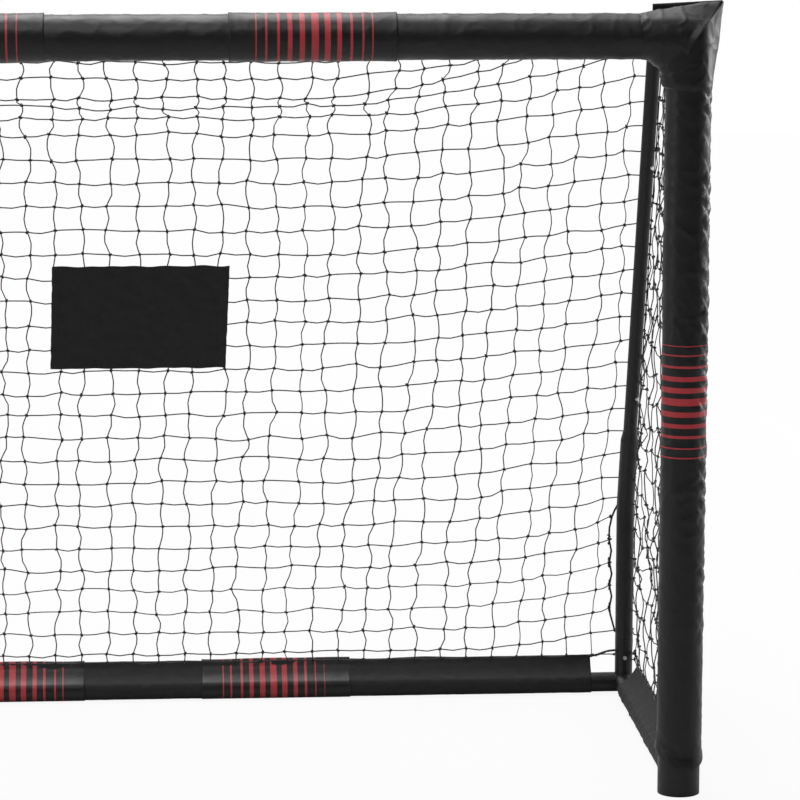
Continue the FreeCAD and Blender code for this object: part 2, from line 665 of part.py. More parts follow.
def flat_net(name, corners, columns, rows, to_world, border):
    """A net panel as one holed face: corners in its own plane, then given a thickness."""
    twine = amount_of("net_twine") / 2
    thick = amount_of("net_thickness")
    outline = Part.makePolygon([Vector(x, y, -thick / 2) for x, y in corners + corners[:1]])
    inside = Part.Face(outline)
    trimmed = inside.makeOffset2D(-border, join=2)
    holes = []
    for left, right in zip(columns[:-1], columns[1:]):
        for low, high in zip(rows[:-1], rows[1:]):
            cell = Part.makePlane(right - left - 2 * twine, high - low - 2 * twine,
                                  Vector(left + twine, low + twine, -thick / 2))
            kept = cell.common(trimmed)
            for face in kept.Faces:
                if face.Area > 40 * twine ** 2:
                    holes.append(face.OuterWire)
    sheet_face = Part.Face([outline] + holes)
    sheet_face.validate()
    net = doc.addObject("Part::Feature", name)
    net.Label = name
    net.Shape = sheet_face.extrude(Vector(0, 0, thick))
    net.Placement = to_world
    return net


def spread(low, high, gaps):
    """Evenly spaced cords from low to high, with this size's number of gaps."""
    count = int(amount_of(gaps))
    return [low + (high - low) * index / count for index in range(count + 1)]


def slack_share(share):
    """How close the net hangs to the tubes: 0 in the middle of the goal, 1 at a tube."""
    free = amount_of("slack_middle / 100")
    return max(0.0, (share - free) / (1 - free)) ** 1.5


def thick_profile(x, line, half_thick):
    """A closed outline round a line of (y, z) places, in the plane of one x."""
    sides = [(b - a).normalize() for a, b in zip(line[:-1], line[1:])]
    near, far = [], []
    for index, place in enumerate(line):
        before = sides[max(0, index - 1)]
        after = sides[min(index, len(sides) - 1)]
        across = (before + after).normalize()
        normal = Vector(0, -across.z, across.y) * (half_thick / across.dot(before))
        near.append(place + normal)
        far.append(place - normal)
    return Part.makePolygon([Vector(x, p.y, p.z) for p in near + far[::-1] + near[:1]])


def hanging_net(name, stations, at_tube, at_middle, border):
    """A slack net panel: a ruled sheet through its columns, with a window in each gap."""
    twine = amount_of("net_twine") / 2
    half_thick = amount_of("net_thickness") / 2
    lines = [[middle + (tube - middle) * share for tube, middle in zip(at_tube, at_middle)]
             for _, share in stations]
    sheet_solid = Part.makeLoft(
        [thick_profile(x, line, half_thick) for (x, _), line in zip(stations, lines)],
        True, True)
    places = [[Vector(x, p.y, p.z) for p in line] for (x, _), line in zip(stations, lines)]
    last = len(places) - 1
    bottom = len(at_tube) - 1
    inset = border - twine
    windows = []
    for column in range(last):
        for row in range(bottom):
            corners = []
            for i, j in ((0, 0), (1, 0), (1, 1), (0, 1)):
                here = places[column + i][row + j]
                aside = places[column + 1 - i][row + j] - here
                along = places[column + i][row + 1 - j] - here
                if column + i in (0, last):
                    here = here + aside * (inset / aside.Length)
                if row + j in (0, bottom):
                    here = here + along * (inset / along.Length)
                corners.append(here)
            middle = (corners[0] + corners[1] + corners[2] + corners[3]) * 0.25
            normal = (corners[2] - corners[0]).cross(corners[3] - corners[1]).normalize()
            offsets = [(corner - middle).dot(normal) for corner in corners]
            flat = [corner - normal * away for corner, away in zip(corners, offsets)]
            gap_face = Part.Face(Part.makePolygon(flat + flat[:1])).makeOffset2D(-twine, join=2)
            reach = 2 * half_thick + max(abs(away) for away in offsets)
            gap_face.translate(normal * -reach)
            windows.append(gap_face.extrude(normal * (2 * reach)))
    net = doc.addObject("Part::Feature", name)
    net.Label = name
    net.Shape = sheet_solid.cut(windows).Solids[0]
    return net


def row_places(ends, rows):
    """Evenly spaced (y, z) places of this many gaps between two ends."""
    count = int(amount_of(rows))
    return [ends[0] + (ends[1] - ends[0]) * (index / count) for index in range(count + 1)]


def slack_ends():
    """Lower and upper end of the straight slack back, in the goal's middle plane."""
    front = amount_of(FRONT_Y)
    hem_top = amount_of(
        "hem_height + end_gap + sleeve_clearance + cuff_thickness + net_thickness / 4")
    return (Vector(0, front + amount_of(f"goal_depth + {NET_OFFSET}"), hem_top),
            Vector(0, front + amount_of("slack_reach"), amount_of(f"{CROSS_Z} - slack_drop")))


def make_nets():
    """Roof, back and foot of the net, slack between the tubes, and two flat sides."""
    border = amount_of("net_border")
    offset = amount_of(NET_OFFSET)
    half_thick = amount_of("net_thickness") / 2
    front = amount_of(FRONT_Y)
    depth = amount_of("goal_depth")
    reach = amount_of("roof_reach")
    cross_z = amount_of(CROSS_Z)
    bend_z = amount_of("leg_bend_height")
    gap = amount_of("end_gap")
    hem_z = amount_of("hem_height") + gap
    start = amount_of(SLEEVE_RADIUS) + gap
    half = amount_of(POST_X) + offset - half_thick - gap
    inner = amount_of(f"{POST_X} - {LEG} - tube_clearance")
    stations = [(x, slack_share(abs(x) / inner)) for x in spread(-inner, inner, "net_columns")]
    stations = [(-half, 1.0)] + stations + [(half, 1.0)]

    # Rear corner of the roof and bend of the back, beside the tubes.
    roof_edge = Vector(0, front + reach + offset * math.tan((math.pi / 2 - LEAN) / 2),
                       cross_z + offset)
    bend = Vector(0, front + depth + offset, bend_z + offset * math.tan(LEAN / 2))
    low_end, high_end = slack_ends()
    run = (bend.z - low_end.z) / (high_end.z - low_end.z)
    slack_bend = low_end + (high_end - low_end) * run
    parting = Vector(0, 0, half_thick + gap)

    first = Vector(0, front + start, cross_z + offset)
    slack_roof = [first] + [
        Vector(0, front + amount_of(f"{part}_reach"), amount_of(f"{CROSS_Z} - {part}_drop"))
        for part in ("upper_sag", "lower_sag")] + [high_end + parting]
    single(hanging_net("net_roof", stations, row_places((first, roof_edge + parting), "roof_rows"),
                       slack_roof, border))
    single(hanging_net("net_back", stations,
                       row_places((roof_edge - parting, bend + parting), "back_rows"),
                       row_places((high_end - parting, slack_bend + parting), "back_rows"), border))
    single(hanging_net("net_foot", stations,
                       row_places((bend - parting, low_end), "foot_rows"),
                       row_places((slack_bend - parting, low_end), "foot_rows"), border))

    outer = offset + half_thick
    rear_y = depth + outer
    side_corners = [
        (start, hem_z), (rear_y, hem_z),
        (rear_y, bend_z + outer * math.tan(LEAN / 2)),
        (reach + outer * math.tan((math.pi / 2 - LEAN) / 2), cross_z + outer),
        (start, cross_z + outer),
    ]
    to_side = Rotation(Vector(1, 1, 1), 120)
    side = flat_net(
        "net_side", side_corners, spread(start, rear_y, "side_columns"),
        spread(hem_z, cross_z + outer, "side_rows"),
        Placement(Vector(half + gap + half_thick, front, 0), to_side), border)
    both_sides(side, "net_side")


def make_trim():
    """The bare fabric panel on the back net and the lacing cords by the legs."""
    low_end, high_end = slack_ends()
    up = (high_end - low_end).normalize()
    inward = amount_of("net_thickness / 2 + end_gap")
    place = low_end + up * amount_of("banner_station") + Vector(0, -up.z, up.y) * inward
    lying = Rotation(Vector(1, 0, 0), math.degrees(math.atan2(-up.y, up.z)))
    panel = new_body("banner_panel", placement=Placement(place, lying))
    half_w = "(banner_width / 2)"
    half_d = "(banner_drop / 2)"
    padded(panel, "XZ_Plane", "banner_thickness", corners=[
        (f"(-{half_w})", f"(-{half_d})"), (half_w, f"(-{half_d})"),
        (half_w, half_d), (f"(-{half_w})", half_d)])
    single(panel)

    cord = new_body("lacing_cord", (f"({POST_X} - {LEG} - cord_diameter / 2 - end_gap)",
                                    f"({FRONT_Y} + goal_depth)", "0"))
    padded(cord, "XY_Plane", f"leg_bend_height - {LEG_TANGENT} - leg_socket_height",
           lift="leg_socket_height", circles=[("(cord_diameter / 2)", ("0", "0"))])
    both_sides(cord, "lacing_cord")


def write_parts():
    """Checks every object and piece, then writes one file for each piece."""
    doc.recompute()
    for item in doc.Objects:
        if "Invalid" in item.State or "Error" in item.State:
            raise ValueError(f"{item.Label}: {item.State}")
    pieces = {item.Label: item for item in doc.Objects if item.Label in node_names}
    missing = [name for name in node_names if name not in pieces]
    if missing:
        raise ValueError(f"no object for {missing}")
    for name, item in pieces.items():
        if item.Shape.isNull() or not item.Shape.isValid():
            raise ValueError(f"{name}: its shape is null or not valid")
    os.makedirs("parts", exist_ok=True)
    for name in node_names:
        pieces[name].Shape.exportStep(f"parts/{name}.step")
    print(f"{len(node_names)} pieces written")


make_posts()
make_top_corners()
make_crossbar()
make_ground_frame()
make_stays()
make_buttons()
make_sleeves()
make_hems()
make_cuffs()
make_nets()
make_trim()
write_parts()
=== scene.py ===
"""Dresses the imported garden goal: padding, striped bands, hems, nets, ropes and finishes."""

import json
import math
import random

import bmesh
import bpy
from bpy.props import FloatProperty, PointerProperty, StringProperty
from mathutils import Matrix, Vector, noise

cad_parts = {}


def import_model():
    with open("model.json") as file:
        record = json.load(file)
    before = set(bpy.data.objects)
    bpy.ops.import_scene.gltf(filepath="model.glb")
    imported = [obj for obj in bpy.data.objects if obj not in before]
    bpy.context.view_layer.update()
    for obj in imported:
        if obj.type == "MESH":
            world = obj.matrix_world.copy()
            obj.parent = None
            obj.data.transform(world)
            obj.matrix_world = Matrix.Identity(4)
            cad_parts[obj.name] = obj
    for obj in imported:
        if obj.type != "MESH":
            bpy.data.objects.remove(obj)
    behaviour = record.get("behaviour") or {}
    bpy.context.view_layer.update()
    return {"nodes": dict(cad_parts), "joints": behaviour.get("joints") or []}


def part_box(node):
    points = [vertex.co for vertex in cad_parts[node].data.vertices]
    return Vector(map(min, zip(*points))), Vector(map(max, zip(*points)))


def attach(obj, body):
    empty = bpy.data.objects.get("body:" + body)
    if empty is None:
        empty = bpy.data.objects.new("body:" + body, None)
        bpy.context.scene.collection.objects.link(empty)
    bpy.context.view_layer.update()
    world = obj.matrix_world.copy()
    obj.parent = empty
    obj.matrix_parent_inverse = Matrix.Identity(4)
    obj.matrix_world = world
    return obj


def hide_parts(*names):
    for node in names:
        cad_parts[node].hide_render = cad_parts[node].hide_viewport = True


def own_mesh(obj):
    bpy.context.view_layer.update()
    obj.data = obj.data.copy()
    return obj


bl_info = {
    "name": "Garden Goal",
    "version": (1, 0, 0),
    "blender": (4, 5, 0),
    "location": "View3D > Sidebar > Garden Goal",
    "description": "Builds the padding, bands, hems, nets and finishes of a garden goal",
    "category": "Object",
}

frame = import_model()

# Places on the steel frame, in metres, as the imported model has them, and both sides
# with the sign of their X.
POST_R = 0.041
POST_X = sum(point[0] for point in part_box("post_lower_right")) / 2
POST_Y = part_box("post_upper_right")[0][1] + POST_R
CROSS_Z = sum(point[2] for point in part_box("crossbar_right")) / 2
REAR_Y = sum(point[1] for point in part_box("rear_bar_right")) / 2
BAR_Z = sum(point[2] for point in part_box("rear_bar_right")) / 2
SIDES = (("right", 1.0), ("left", -1.0))

# Radii of the padding and the hems, the height of the hems' sewn edge, and how far the
# rear and side hems stop beside a ground corner.
SLEEVE_R = 0.044
HEM_R = 0.0228
HEM_EDGE_Z = 0.080
REAR_HEM_GAP = 0.0715
SIDE_HEM_GAP = 0.078

# Gaps across the main net, its rows from the hem to the crossbar, how many of them hang
# evenly, how many hang level near the hem, and how many a rope edges in place of twine.
NET_COLUMNS = 38
NET_ROWS = 31.5
EVEN_ROWS = 25.4
LEVEL_ROWS = 7.4
ROPE_ROWS = 7

# Widths of the red stripes in metres, from one end of a band to the other.
STRIPE_WIDTHS = (0.0022, 0.003, 0.005, 0.0085, 0.0105, 0.0145, 0.0105, 0.0085, 0.005,
                 0.0032, 0.002)


class GoalSizes(bpy.types.PropertyGroup):
    """Sizes of the goal's fabric and cord."""

    mesh_size: FloatProperty(
        name="Mesh size", description="Knot to knot distance of the net",
        default=0.056, min=0.03, unit="LENGTH")
    twine: FloatProperty(
        name="Twine", description="Diameter of the net's twine",
        default=0.0026, min=0.001, unit="LENGTH")
    knot: FloatProperty(
        name="Knot", description="Length of a knot of the net",
        default=0.0102, min=0.002, unit="LENGTH")
    rope: FloatProperty(
        name="Border rope", description="Diameter of the rope along the net's edges",
        default=0.0045, min=0.002, unit="LENGTH")
    crease: FloatProperty(
        name="Creases", description="Depth of the creases of the padded sleeves",
        default=0.0026, min=0.0, unit="LENGTH")
    padding_lift: FloatProperty(
        name="Corner tip", description="How far the corner cover's tip stands out",
        default=0.0205, min=0.0, unit="LENGTH")


class GoalColours(bpy.types.PropertyGroup):
    """Colours of the goal's finishes, as sRGB hex values."""

    cover: StringProperty(
        name="Cover", description="Coated fabric of the padding", default="#0E0E10")
    hem: StringProperty(
        name="Hem", description="Woven fabric of the hems", default="#19191A")
    stripe: StringProperty(
        name="Stripe", description="Printed stripes", default="#93282E")
    tube: StringProperty(
        name="Tube", description="Powder coat of the tubes", default="#0F0F10")
    net: StringProperty(
        name="Net", description="Twine and ropes of the net", default="#111112")
    panel: StringProperty(
        name="Panel", description="Cloth of the bare panel", default="#151517")


def linear(text):
    """Linear red, green, blue and alpha of an sRGB hex value."""
    channels = [int(text[index:index + 2], 16) / 255 for index in (1, 3, 5)]
    return tuple(c / 12.92 if c <= 0.04045 else ((c + 0.055) / 1.055) ** 2.4
                 for c in channels) + (1.0,)


def ease(low, high, value):
    """Smooth step from 0 at low to 1 at high."""
    share = min(1.0, max(0.0, (value - low) / (high - low)))
    return share * share * (3 - 2 * share)


# ---- finishes


def add_node(tree, kind, **inputs):
    """Adds a shader node; names in lower case are its settings, the others its inputs."""
    node = tree.nodes.new("ShaderNode" + kind)
    for name in [name for name in inputs if name.islower()]:
        setattr(node, name, inputs.pop(name))
    feed(tree, node, **inputs)
    return node


def feed(tree, node, **inputs):
    """Sets inputs to values, or links them to sockets or to other nodes' first sockets."""
    for name, value in inputs.items():
        socket = node.inputs[int(name[1:]) if name[0] == "_" else name.replace("_", " ")]
        if isinstance(value, bpy.types.Node):
            value = value.outputs[0]
        if isinstance(value, bpy.types.NodeSocket):
            tree.links.new(value, socket)
        else:
            socket.default_value = value


def blank_finish(name, roughness, **constants):
    """A new material, its tree, its shader with these constants, and Object coordinates."""
    finish = bpy.data.materials.new(name)
    finish.use_nodes = True
    tree = finish.node_tree
    shader = tree.nodes["Principled BSDF"]
    feed(tree, shader, Roughness=roughness, **constants)
    return finish, tree, shader, add_node(tree, "TexCoord").outputs["Object"]


def shaded_colour(tree, place, colour, dark, scale, darker=0.7):
    """A colour that varies softly between itself and a darker shade of it."""
    base = linear(colour)
    low = tuple(c * darker for c in base[:3]) + (1.0,)
    cloud = add_node(tree, "TexNoise", Vector=place, Scale=scale, Detail=4.0, Roughness=0.6)
    share = add_node(tree, "MapRange", _0=cloud, _1=0.35, _2=0.65, _3=0.0, _4=dark)
    return add_node(tree, "Mix", data_type="RGBA", _0=share, _6=base, _7=low).outputs[2]


def weave_height(tree, place, thread):
    """Height of a plain weave whose threads lie this many metres apart."""
    split = add_node(tree, "SeparateXYZ", _0=place)
    waves = []
    for axis in (0, 1):
        turned = add_node(tree, "Math", operation="MULTIPLY", _0=split.outputs[axis],
                          _1=math.pi / thread)
        waves.append(add_node(tree, "Math", operation="SINE", _0=turned))
    return add_node(tree, "Math", operation="MULTIPLY", _0=waves[0], _1=waves[1])


def coated_polyester(name, colour, stripes, span, print_colour):
    """Padding cover: polyester cloth with a PVC coat, calendered smooth.

    The coat gives a soft broad gloss with sharper glints on its creases. Its stripes are
    (start, end) in metres along the cloth, inside the span (near, far).
    """
    finish, tree, shader, place = blank_finish(name, 0.44, Specular_IOR_Level=0.28, IOR=1.5,
                                               Coat_Weight=0.05, Coat_Roughness=0.3)
    cloth_map = add_node(tree, "UVMap", uv_map="cloth")
    tint = shaded_colour(tree, place, colour, 0.6, 34.0)
    if stripes:
        near, far = span
        split = add_node(tree, "SeparateXYZ", _0=cloth_map)
        along = add_node(tree, "MapRange", _0=split.outputs[1], _1=near, _2=far)
        ramp = add_node(tree, "ValToRGB", _0=along)
        ramp.color_ramp.interpolation = "CONSTANT"
        elements = ramp.color_ramp.elements
        # Only the ramp's black start stays.
        elements.remove(elements[-1])
        for start, end in stripes:
            elements.new((start - near) / (far - near)).color = (1, 1, 1, 1)
            elements.new((end - near) / (far - near)).color = (0, 0, 0, 1)
        red = shaded_colour(tree, place, print_colour, 0.5, 60.0, 0.82)
        tint = add_node(tree, "Mix", data_type="RGBA", _0=ramp, _6=tint,
                        _7=red).outputs[2]
    patches = add_node(tree, "TexNoise", Vector=place, Scale=14.0, Detail=5.0)
    rough = add_node(tree, "MapRange", _0=patches, _1=0.3, _2=0.7, _3=0.36, _4=0.52)
    # The cloth's threads, 0.5 mm apart, are drawn at 1.2 mm so that they show.
    weave = add_node(tree, "Bump", Strength=0.1, Distance=0.0004,
                     Height=weave_height(tree, cloth_map, 0.0012))
    folds = add_node(tree, "TexNoise", Vector=place, Scale=42.0, Detail=3.0, Distortion=0.8)
    creases = add_node(tree, "Bump", Strength=0.22, Distance=0.004, Height=folds,
                       Normal=weave)
    feed(tree, shader, Base_Color=tint, Roughness=rough, Normal=creases)
    return finish


def woven_polyester(name, colour, thread):
    """Hem and panel cloth: uncoated plain-woven polyester, dull with a faint sheen."""
    finish, tree, shader, place = blank_finish(name, 0.68, Specular_IOR_Level=0.25,
                                               Sheen_Weight=0.02, Sheen_Roughness=0.5)
    cloth_map = add_node(tree, "UVMap", uv_map="cloth")
    # Threads of 0.6 mm are drawn at 1.2 to 1.6 mm so that they show.
    weave = add_node(tree, "Bump", Strength=0.3, Distance=0.0005,
                     Height=weave_height(tree, cloth_map, thread))
    folds = add_node(tree, "TexNoise", Vector=place, Scale=60.0, Detail=4.0)
    puckers = add_node(tree, "Bump", Strength=0.3, Distance=0.004, Height=folds,
                       Normal=weave)
    feed(tree, shader, Base_Color=shaded_colour(tree, place, colour, 0.7, 60.0),
         Normal=puckers)
    return finish


def powder_coat(name, colour):
    """Frame tubes: steel under a satin powder coat with fine orange peel."""
    finish, tree, shader, place = blank_finish(name, 0.42, Specular_IOR_Level=0.32)
    scuffs = add_node(tree, "TexNoise", Vector=place, Scale=90.0, Detail=6.0)
    rough = add_node(tree, "MapRange", _0=scuffs, _1=0.35, _2=0.7, _3=0.36, _4=0.52)
    # Orange peel cells are about 1.5 mm across.
    peel = add_node(tree, "TexNoise", Vector=place, Scale=650.0, Detail=1.0)
    bump = add_node(tree, "Bump", Strength=0.12, Distance=0.0004, Height=peel)
    feed(tree, shader, Base_Color=shaded_colour(tree, place, colour, 0.4, 25.0, 0.8),
         Roughness=rough, Normal=bump)
    return finish


def moulded_polyethylene(name, colour):
    """Foot plugs: black injection-moulded polyethylene with a fine spark texture."""
    finish, tree, shader, place = blank_finish(name, 0.55, IOR=1.51)
    grain = add_node(tree, "TexNoise", Vector=place, Scale=900.0, Detail=2.0)
    bump = add_node(tree, "Bump", Strength=0.2, Distance=0.0003, Height=grain)
    feed(tree, shader, Base_Color=shaded_colour(tree, place, colour, 0.5, 40.0),
         Normal=bump)
    return finish


def plated_steel(name, colour, roughness):
    """Snap buttons and leaf springs: zinc-plated steel, lightly brushed."""
    finish, tree, shader, place = blank_finish(name, roughness, Metallic=1.0)
    brushed = add_node(tree, "Mapping", Vector=place, Scale=(1.0, 1.0, 14.0))
    lines = add_node(tree, "TexNoise", Vector=brushed, Scale=400.0)
    rough = add_node(tree, "MapRange", _0=lines, _1=0.3, _2=0.7, _3=roughness - 0.06,
                     _4=roughness + 0.1)
    feed(tree, shader, Base_Color=shaded_colour(tree, place, colour, 0.5, 200.0, 0.85),
         Roughness=rough)
    return finish


def twisted_twine(name, colour, pitch):
    """Net twine and rope: twisted polyethylene yarn, slightly waxy and fuzzy."""
    finish, tree, shader, place = blank_finish(name, 0.6, Specular_IOR_Level=0.4,
                                               Sheen_Weight=0.15, Sheen_Roughness=0.4)
    # The lay of the strands is drawn 2 to 3 mm apart, so that it shows.
    lay = add_node(tree, "TexWave", bands_direction="DIAGONAL", Vector=place,
                   Scale=1 / pitch, Distortion=1.5, Detail=1.0)
    bump = add_node(tree, "Bump", Strength=0.5, Distance=0.0006, Height=lay.outputs["Fac"])
    feed(tree, shader, Base_Color=shaded_colour(tree, place, colour, 0.6, 150.0),
         Normal=bump)
    return finish


def finish_named(name, make, *values):
    """The finish with this name, made on its first use."""
    return bpy.data.materials.get(name) or make(name, *values)


# ---- building blocks


def add_piece(name, bm, finish, replaced=(), smooth=True):
    """Adds a piece that rides on the goal's frame and stands for its CAD nodes."""
    mesh = bpy.data.meshes.new(name)
    bm.to_mesh(mesh)
    bm.free()
    for polygon in mesh.polygons:
        polygon.use_smooth = smooth
    mesh.materials.append(finish)
    piece = bpy.data.objects.new(name, mesh)
    bpy.context.collection.objects.link(piece)
    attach(piece, "goal")
    if replaced:
        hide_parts(*replaced)
    return piece


def tube_skin(around, rings, place, radius, length, start=0.0, lip=0.0):
    """An open tube whose every point is put in place by its share along and angle.

    Its cloth map is in metres: round its radius, and along its length from a start. The lip
    is turned inwards at both ends.
    """
    bm = bmesh.new()
    bmesh.ops.create_cone(bm, cap_ends=False, segments=around, radius1=1.0, radius2=1.0,
                          depth=1.0)
    long_edges = [e for e in bm.edges if abs(e.verts[0].co.z - e.verts[1].co.z) > 0.5]
    bmesh.ops.subdivide_edges(bm, edges=long_edges, cuts=rings - 1)
    cloth = bm.loops.layers.uv.new("cloth")
    stations = {}
    for vert in bm.verts:
        angle = math.atan2(vert.co.y, vert.co.x) % (2 * math.pi)
        stations[vert] = (vert.co.z + 0.5, angle)
        vert.co = place(*stations[vert])
    for face in bm.faces:
        angles = [stations[loop.vert][1] for loop in face.loops]
        wraps = max(angles) - min(angles) > math.pi
        for loop in face.loops:
            share, angle = stations[loop.vert]
            if wraps and angle < math.pi:
                angle += 2 * math.pi
            loop[cloth].uv = (angle * radius, start + share * length)
    for end in (0.0, 1.0) if lip else ():
        rim = [e for e in bm.edges if e.is_boundary
               and all(abs(stations.get(v, (9, 0))[0] - end) < 1e-6 for v in e.verts)]
        grown = bmesh.ops.extrude_edge_only(bm, edges=rim)["geom"]
        ring = [g for g in grown if isinstance(g, bmesh.types.BMVert)]
        middle = sum((v.co for v in ring), Vector()) / len(ring)
        for vert in ring:
            vert.co += (middle - vert.co).normalized() * lip
    bmesh.ops.recalc_face_normals(bm, faces=bm.faces)
    return bm


def flat_cloth(across, along, wide, tall):
    """A flat sheet from -0.5 to 0.5 with this many faces each way and its cloth map."""
    bm = bmesh.new()
    bmesh.ops.create_grid(bm, x_segments=across, y_segments=along, size=0.5)
    cloth = bm.loops.layers.uv.new("cloth")
    for face in bm.faces:
        for loop in face.loops:
            loop[cloth].uv = (loop.vert.co.x * wide, loop.vert.co.y * tall)
    return bm


def add_wall(piece, thickness, offset=-1.0):
    """Gives a skin its thickness, inwards by default."""
    wall = piece.modifiers.new("wall", "SOLIDIFY")
    wall.thickness = thickness
    wall.offset = offset


def crease_height(point, seed, strength):
    """Height of the creases of a padded cover at a point, in metres."""
    p = point + Vector((seed * 7.3, seed * 3.1, seed * 5.7))
    swell = noise.noise(p * 7) * 0.45 + noise.noise(p * 19) * 0.22
    fold = 1 - abs(noise.noise(Vector((p.x * 20 + p.z * 14, p.y * 20, p.z * 16 - p.x * 10))))
    cross = 1 - abs(noise.noise(Vector((p.x * 17 - p.z * 15, p.y * 17 + 9, p.z * 15 + p.x * 9))))
    return strength * (swell + 1.0 * fold ** 9 + 0.8 * cross ** 11 - 0.25)


# ---- padding


def cover_finish(name="cover", middles=(), *span):
    """The covers' finish; its red stripes' middles are in metres along the cloth."""
    colours = bpy.context.scene.goal_colours
    stripes = [(m - w / 2, m + w / 2) for m, w in zip(middles, STRIPE_WIDTHS)]
    return finish_named(f"coated_polyester_{name}", coated_polyester, colours.cover,
                        stripes, span, colours.stripe)


class GOAL_OT_crossbar_padding(bpy.types.Operator):
    """Adds the padded sleeve of the crossbar"""

    bl_idname = "goal.crossbar_padding"
    bl_label = "Crossbar padding"

    def execute(self, context):
        depth = context.scene.goal_sizes.crease
        # Its ends lie under the corner covers.
        half = POST_X - 0.094

        def place(share, angle):
            x = half * (2 * share - 1)
            up, out = math.sin(angle), math.cos(angle)
            spot = Vector((x, out * SLEEVE_R, up * SLEEVE_R))
            swell = crease_height(spot, 1.0, depth * 0.35)
            radius = SLEEVE_R - 0.0006 + swell
            return Vector((x, POST_Y + out * radius, CROSS_Z + up * radius))

        bm = tube_skin(72, 420, place, SLEEVE_R, 2 * half)
        piece = add_piece("crossbar_padding", bm, cover_finish(),
                          ("crossbar_sleeve",))
        return {"FINISHED"}


def buckles(spot, depth):
    """Height of the diamond pillows that the cover buckles into down a post's outer front."""
    turn = math.degrees(math.atan2(-spot.y, spot.x))
    drift = 1.1 * noise.noise(Vector((spot.z * 7, 3.0, 0.0)))
    wander = 18 * noise.noise(Vector((spot.z * 24, 5.0, 0.0)))
    folds = [abs(math.sin(math.pi * (spot.z / 0.045 + drift + lean * turn / 66)))
             for lean in (1, -1)]
    share = ease(-45, -5, turn) * (1 - ease(36 + wander, 64 + wander, turn))
    strong = 0.4 + 0.6 * ease(-0.25, 0.1, noise.noise(Vector((spot.z * 9, 9.0, 0.0))))
    strong *= ease(0.26, 0.36, spot.z)
    return depth * 2.1 * strong * share * (min(folds) ** 0.6 - 0.55)


class GOAL_OT_post_padding(bpy.types.Operator):
    """Adds the padded sleeves of both posts, with their curved lower hems"""

    bl_idname = "goal.post_padding"
    bl_label = "Post padding"

    def execute(self, context):
        depth = context.scene.goal_sizes.crease
        top = CROSS_Z - 0.090
        finish = cover_finish("post", (.6703, .6888, .7112, .7325, .7549, .7791, .8014,
                                       .8236, .8468, .869, .8874), 0.66, 0.9)
        for side, sign in SIDES:
            def place(share, angle):
                out, back = math.cos(angle), math.sin(angle)
                level = 0.0825 - 0.0075 * out + 0.0265 * (back if back < 0 else back * 0.3)
                z = level + (top - level) * share
                spot = Vector((out * SLEEVE_R, back * SLEEVE_R, z))
                swell = crease_height(spot, 2.0, depth * (0.25 + 0.2 * ease(0.35, 0.5, z)))
                flare = 0.0032 * (1 - ease(0.0, 0.022, z - level))
                radius = SLEEVE_R - 0.0004 + swell + flare + buckles(spot, depth)
                return Vector((sign * (POST_X + out * radius), POST_Y + back * radius, z))

            bm = tube_skin(72, 320, place, SLEEVE_R, 1.0)
            cloth = bm.loops.layers.uv["cloth"]
            for face in bm.faces:
                for loop in face.loops:
                    loop[cloth].uv[1] = loop.vert.co.z
            # The lower rim turns in by the cloth's thickness and runs up inside.
            rim = [e for e in bm.edges if e.is_boundary and e.verts[0].co.z < 0.2]
            for inwards, up in ((0.0026, 0.0), (0.0, 0.03)):
                grown = bmesh.ops.extrude_edge_only(bm, edges=rim)["geom"]
                rim = [g for g in grown if isinstance(g, bmesh.types.BMEdge)]
                for vert in [g for g in grown if isinstance(g, bmesh.types.BMVert)]:
                    axis = Vector((sign * POST_X, POST_Y, vert.co.z))
                    vert.co += (axis - vert.co).normalized() * inwards + Vector((0, 0, up))
            bmesh.ops.recalc_face_normals(bm, faces=bm.faces)
            piece = add_piece(f"post_padding_{side}", bm, finish,
                              (f"post_sleeve_{side}",))
        return {"FINISHED"}


def between(marks, value):
    """Straight-line value between marks of (place, amount)."""
    for (low, first), (high, last) in zip(marks[:-1], marks[1:]):
        if value <= high:
            share = max(0.0, (value - low) / (high - low))
            return first + (last - first) * share
    return marks[-1][1]


def tent_radius(angle, ridge):
    """Radius of a cover drawn from its round tube out to a ridge at angle 0."""
    spread = math.acos(min(1.0, SLEEVE_R / (SLEEVE_R + ridge)))
    angle = abs((angle + math.pi) % (2 * math.pi) - math.pi)
    return SLEEVE_R / math.cos(spread - angle) if angle < spread else SLEEVE_R


def corner_web(point, inner):
    """How far the cover bridges the inner corner between post and crossbar."""
    near = 1 - ease(0.0, 0.04, math.hypot(point.x + SLEEVE_R, point.z + SLEEVE_R))
    return Vector((-1, 0, -1)) * 0.0125 * near * max(0.0, inner) ** 0.7


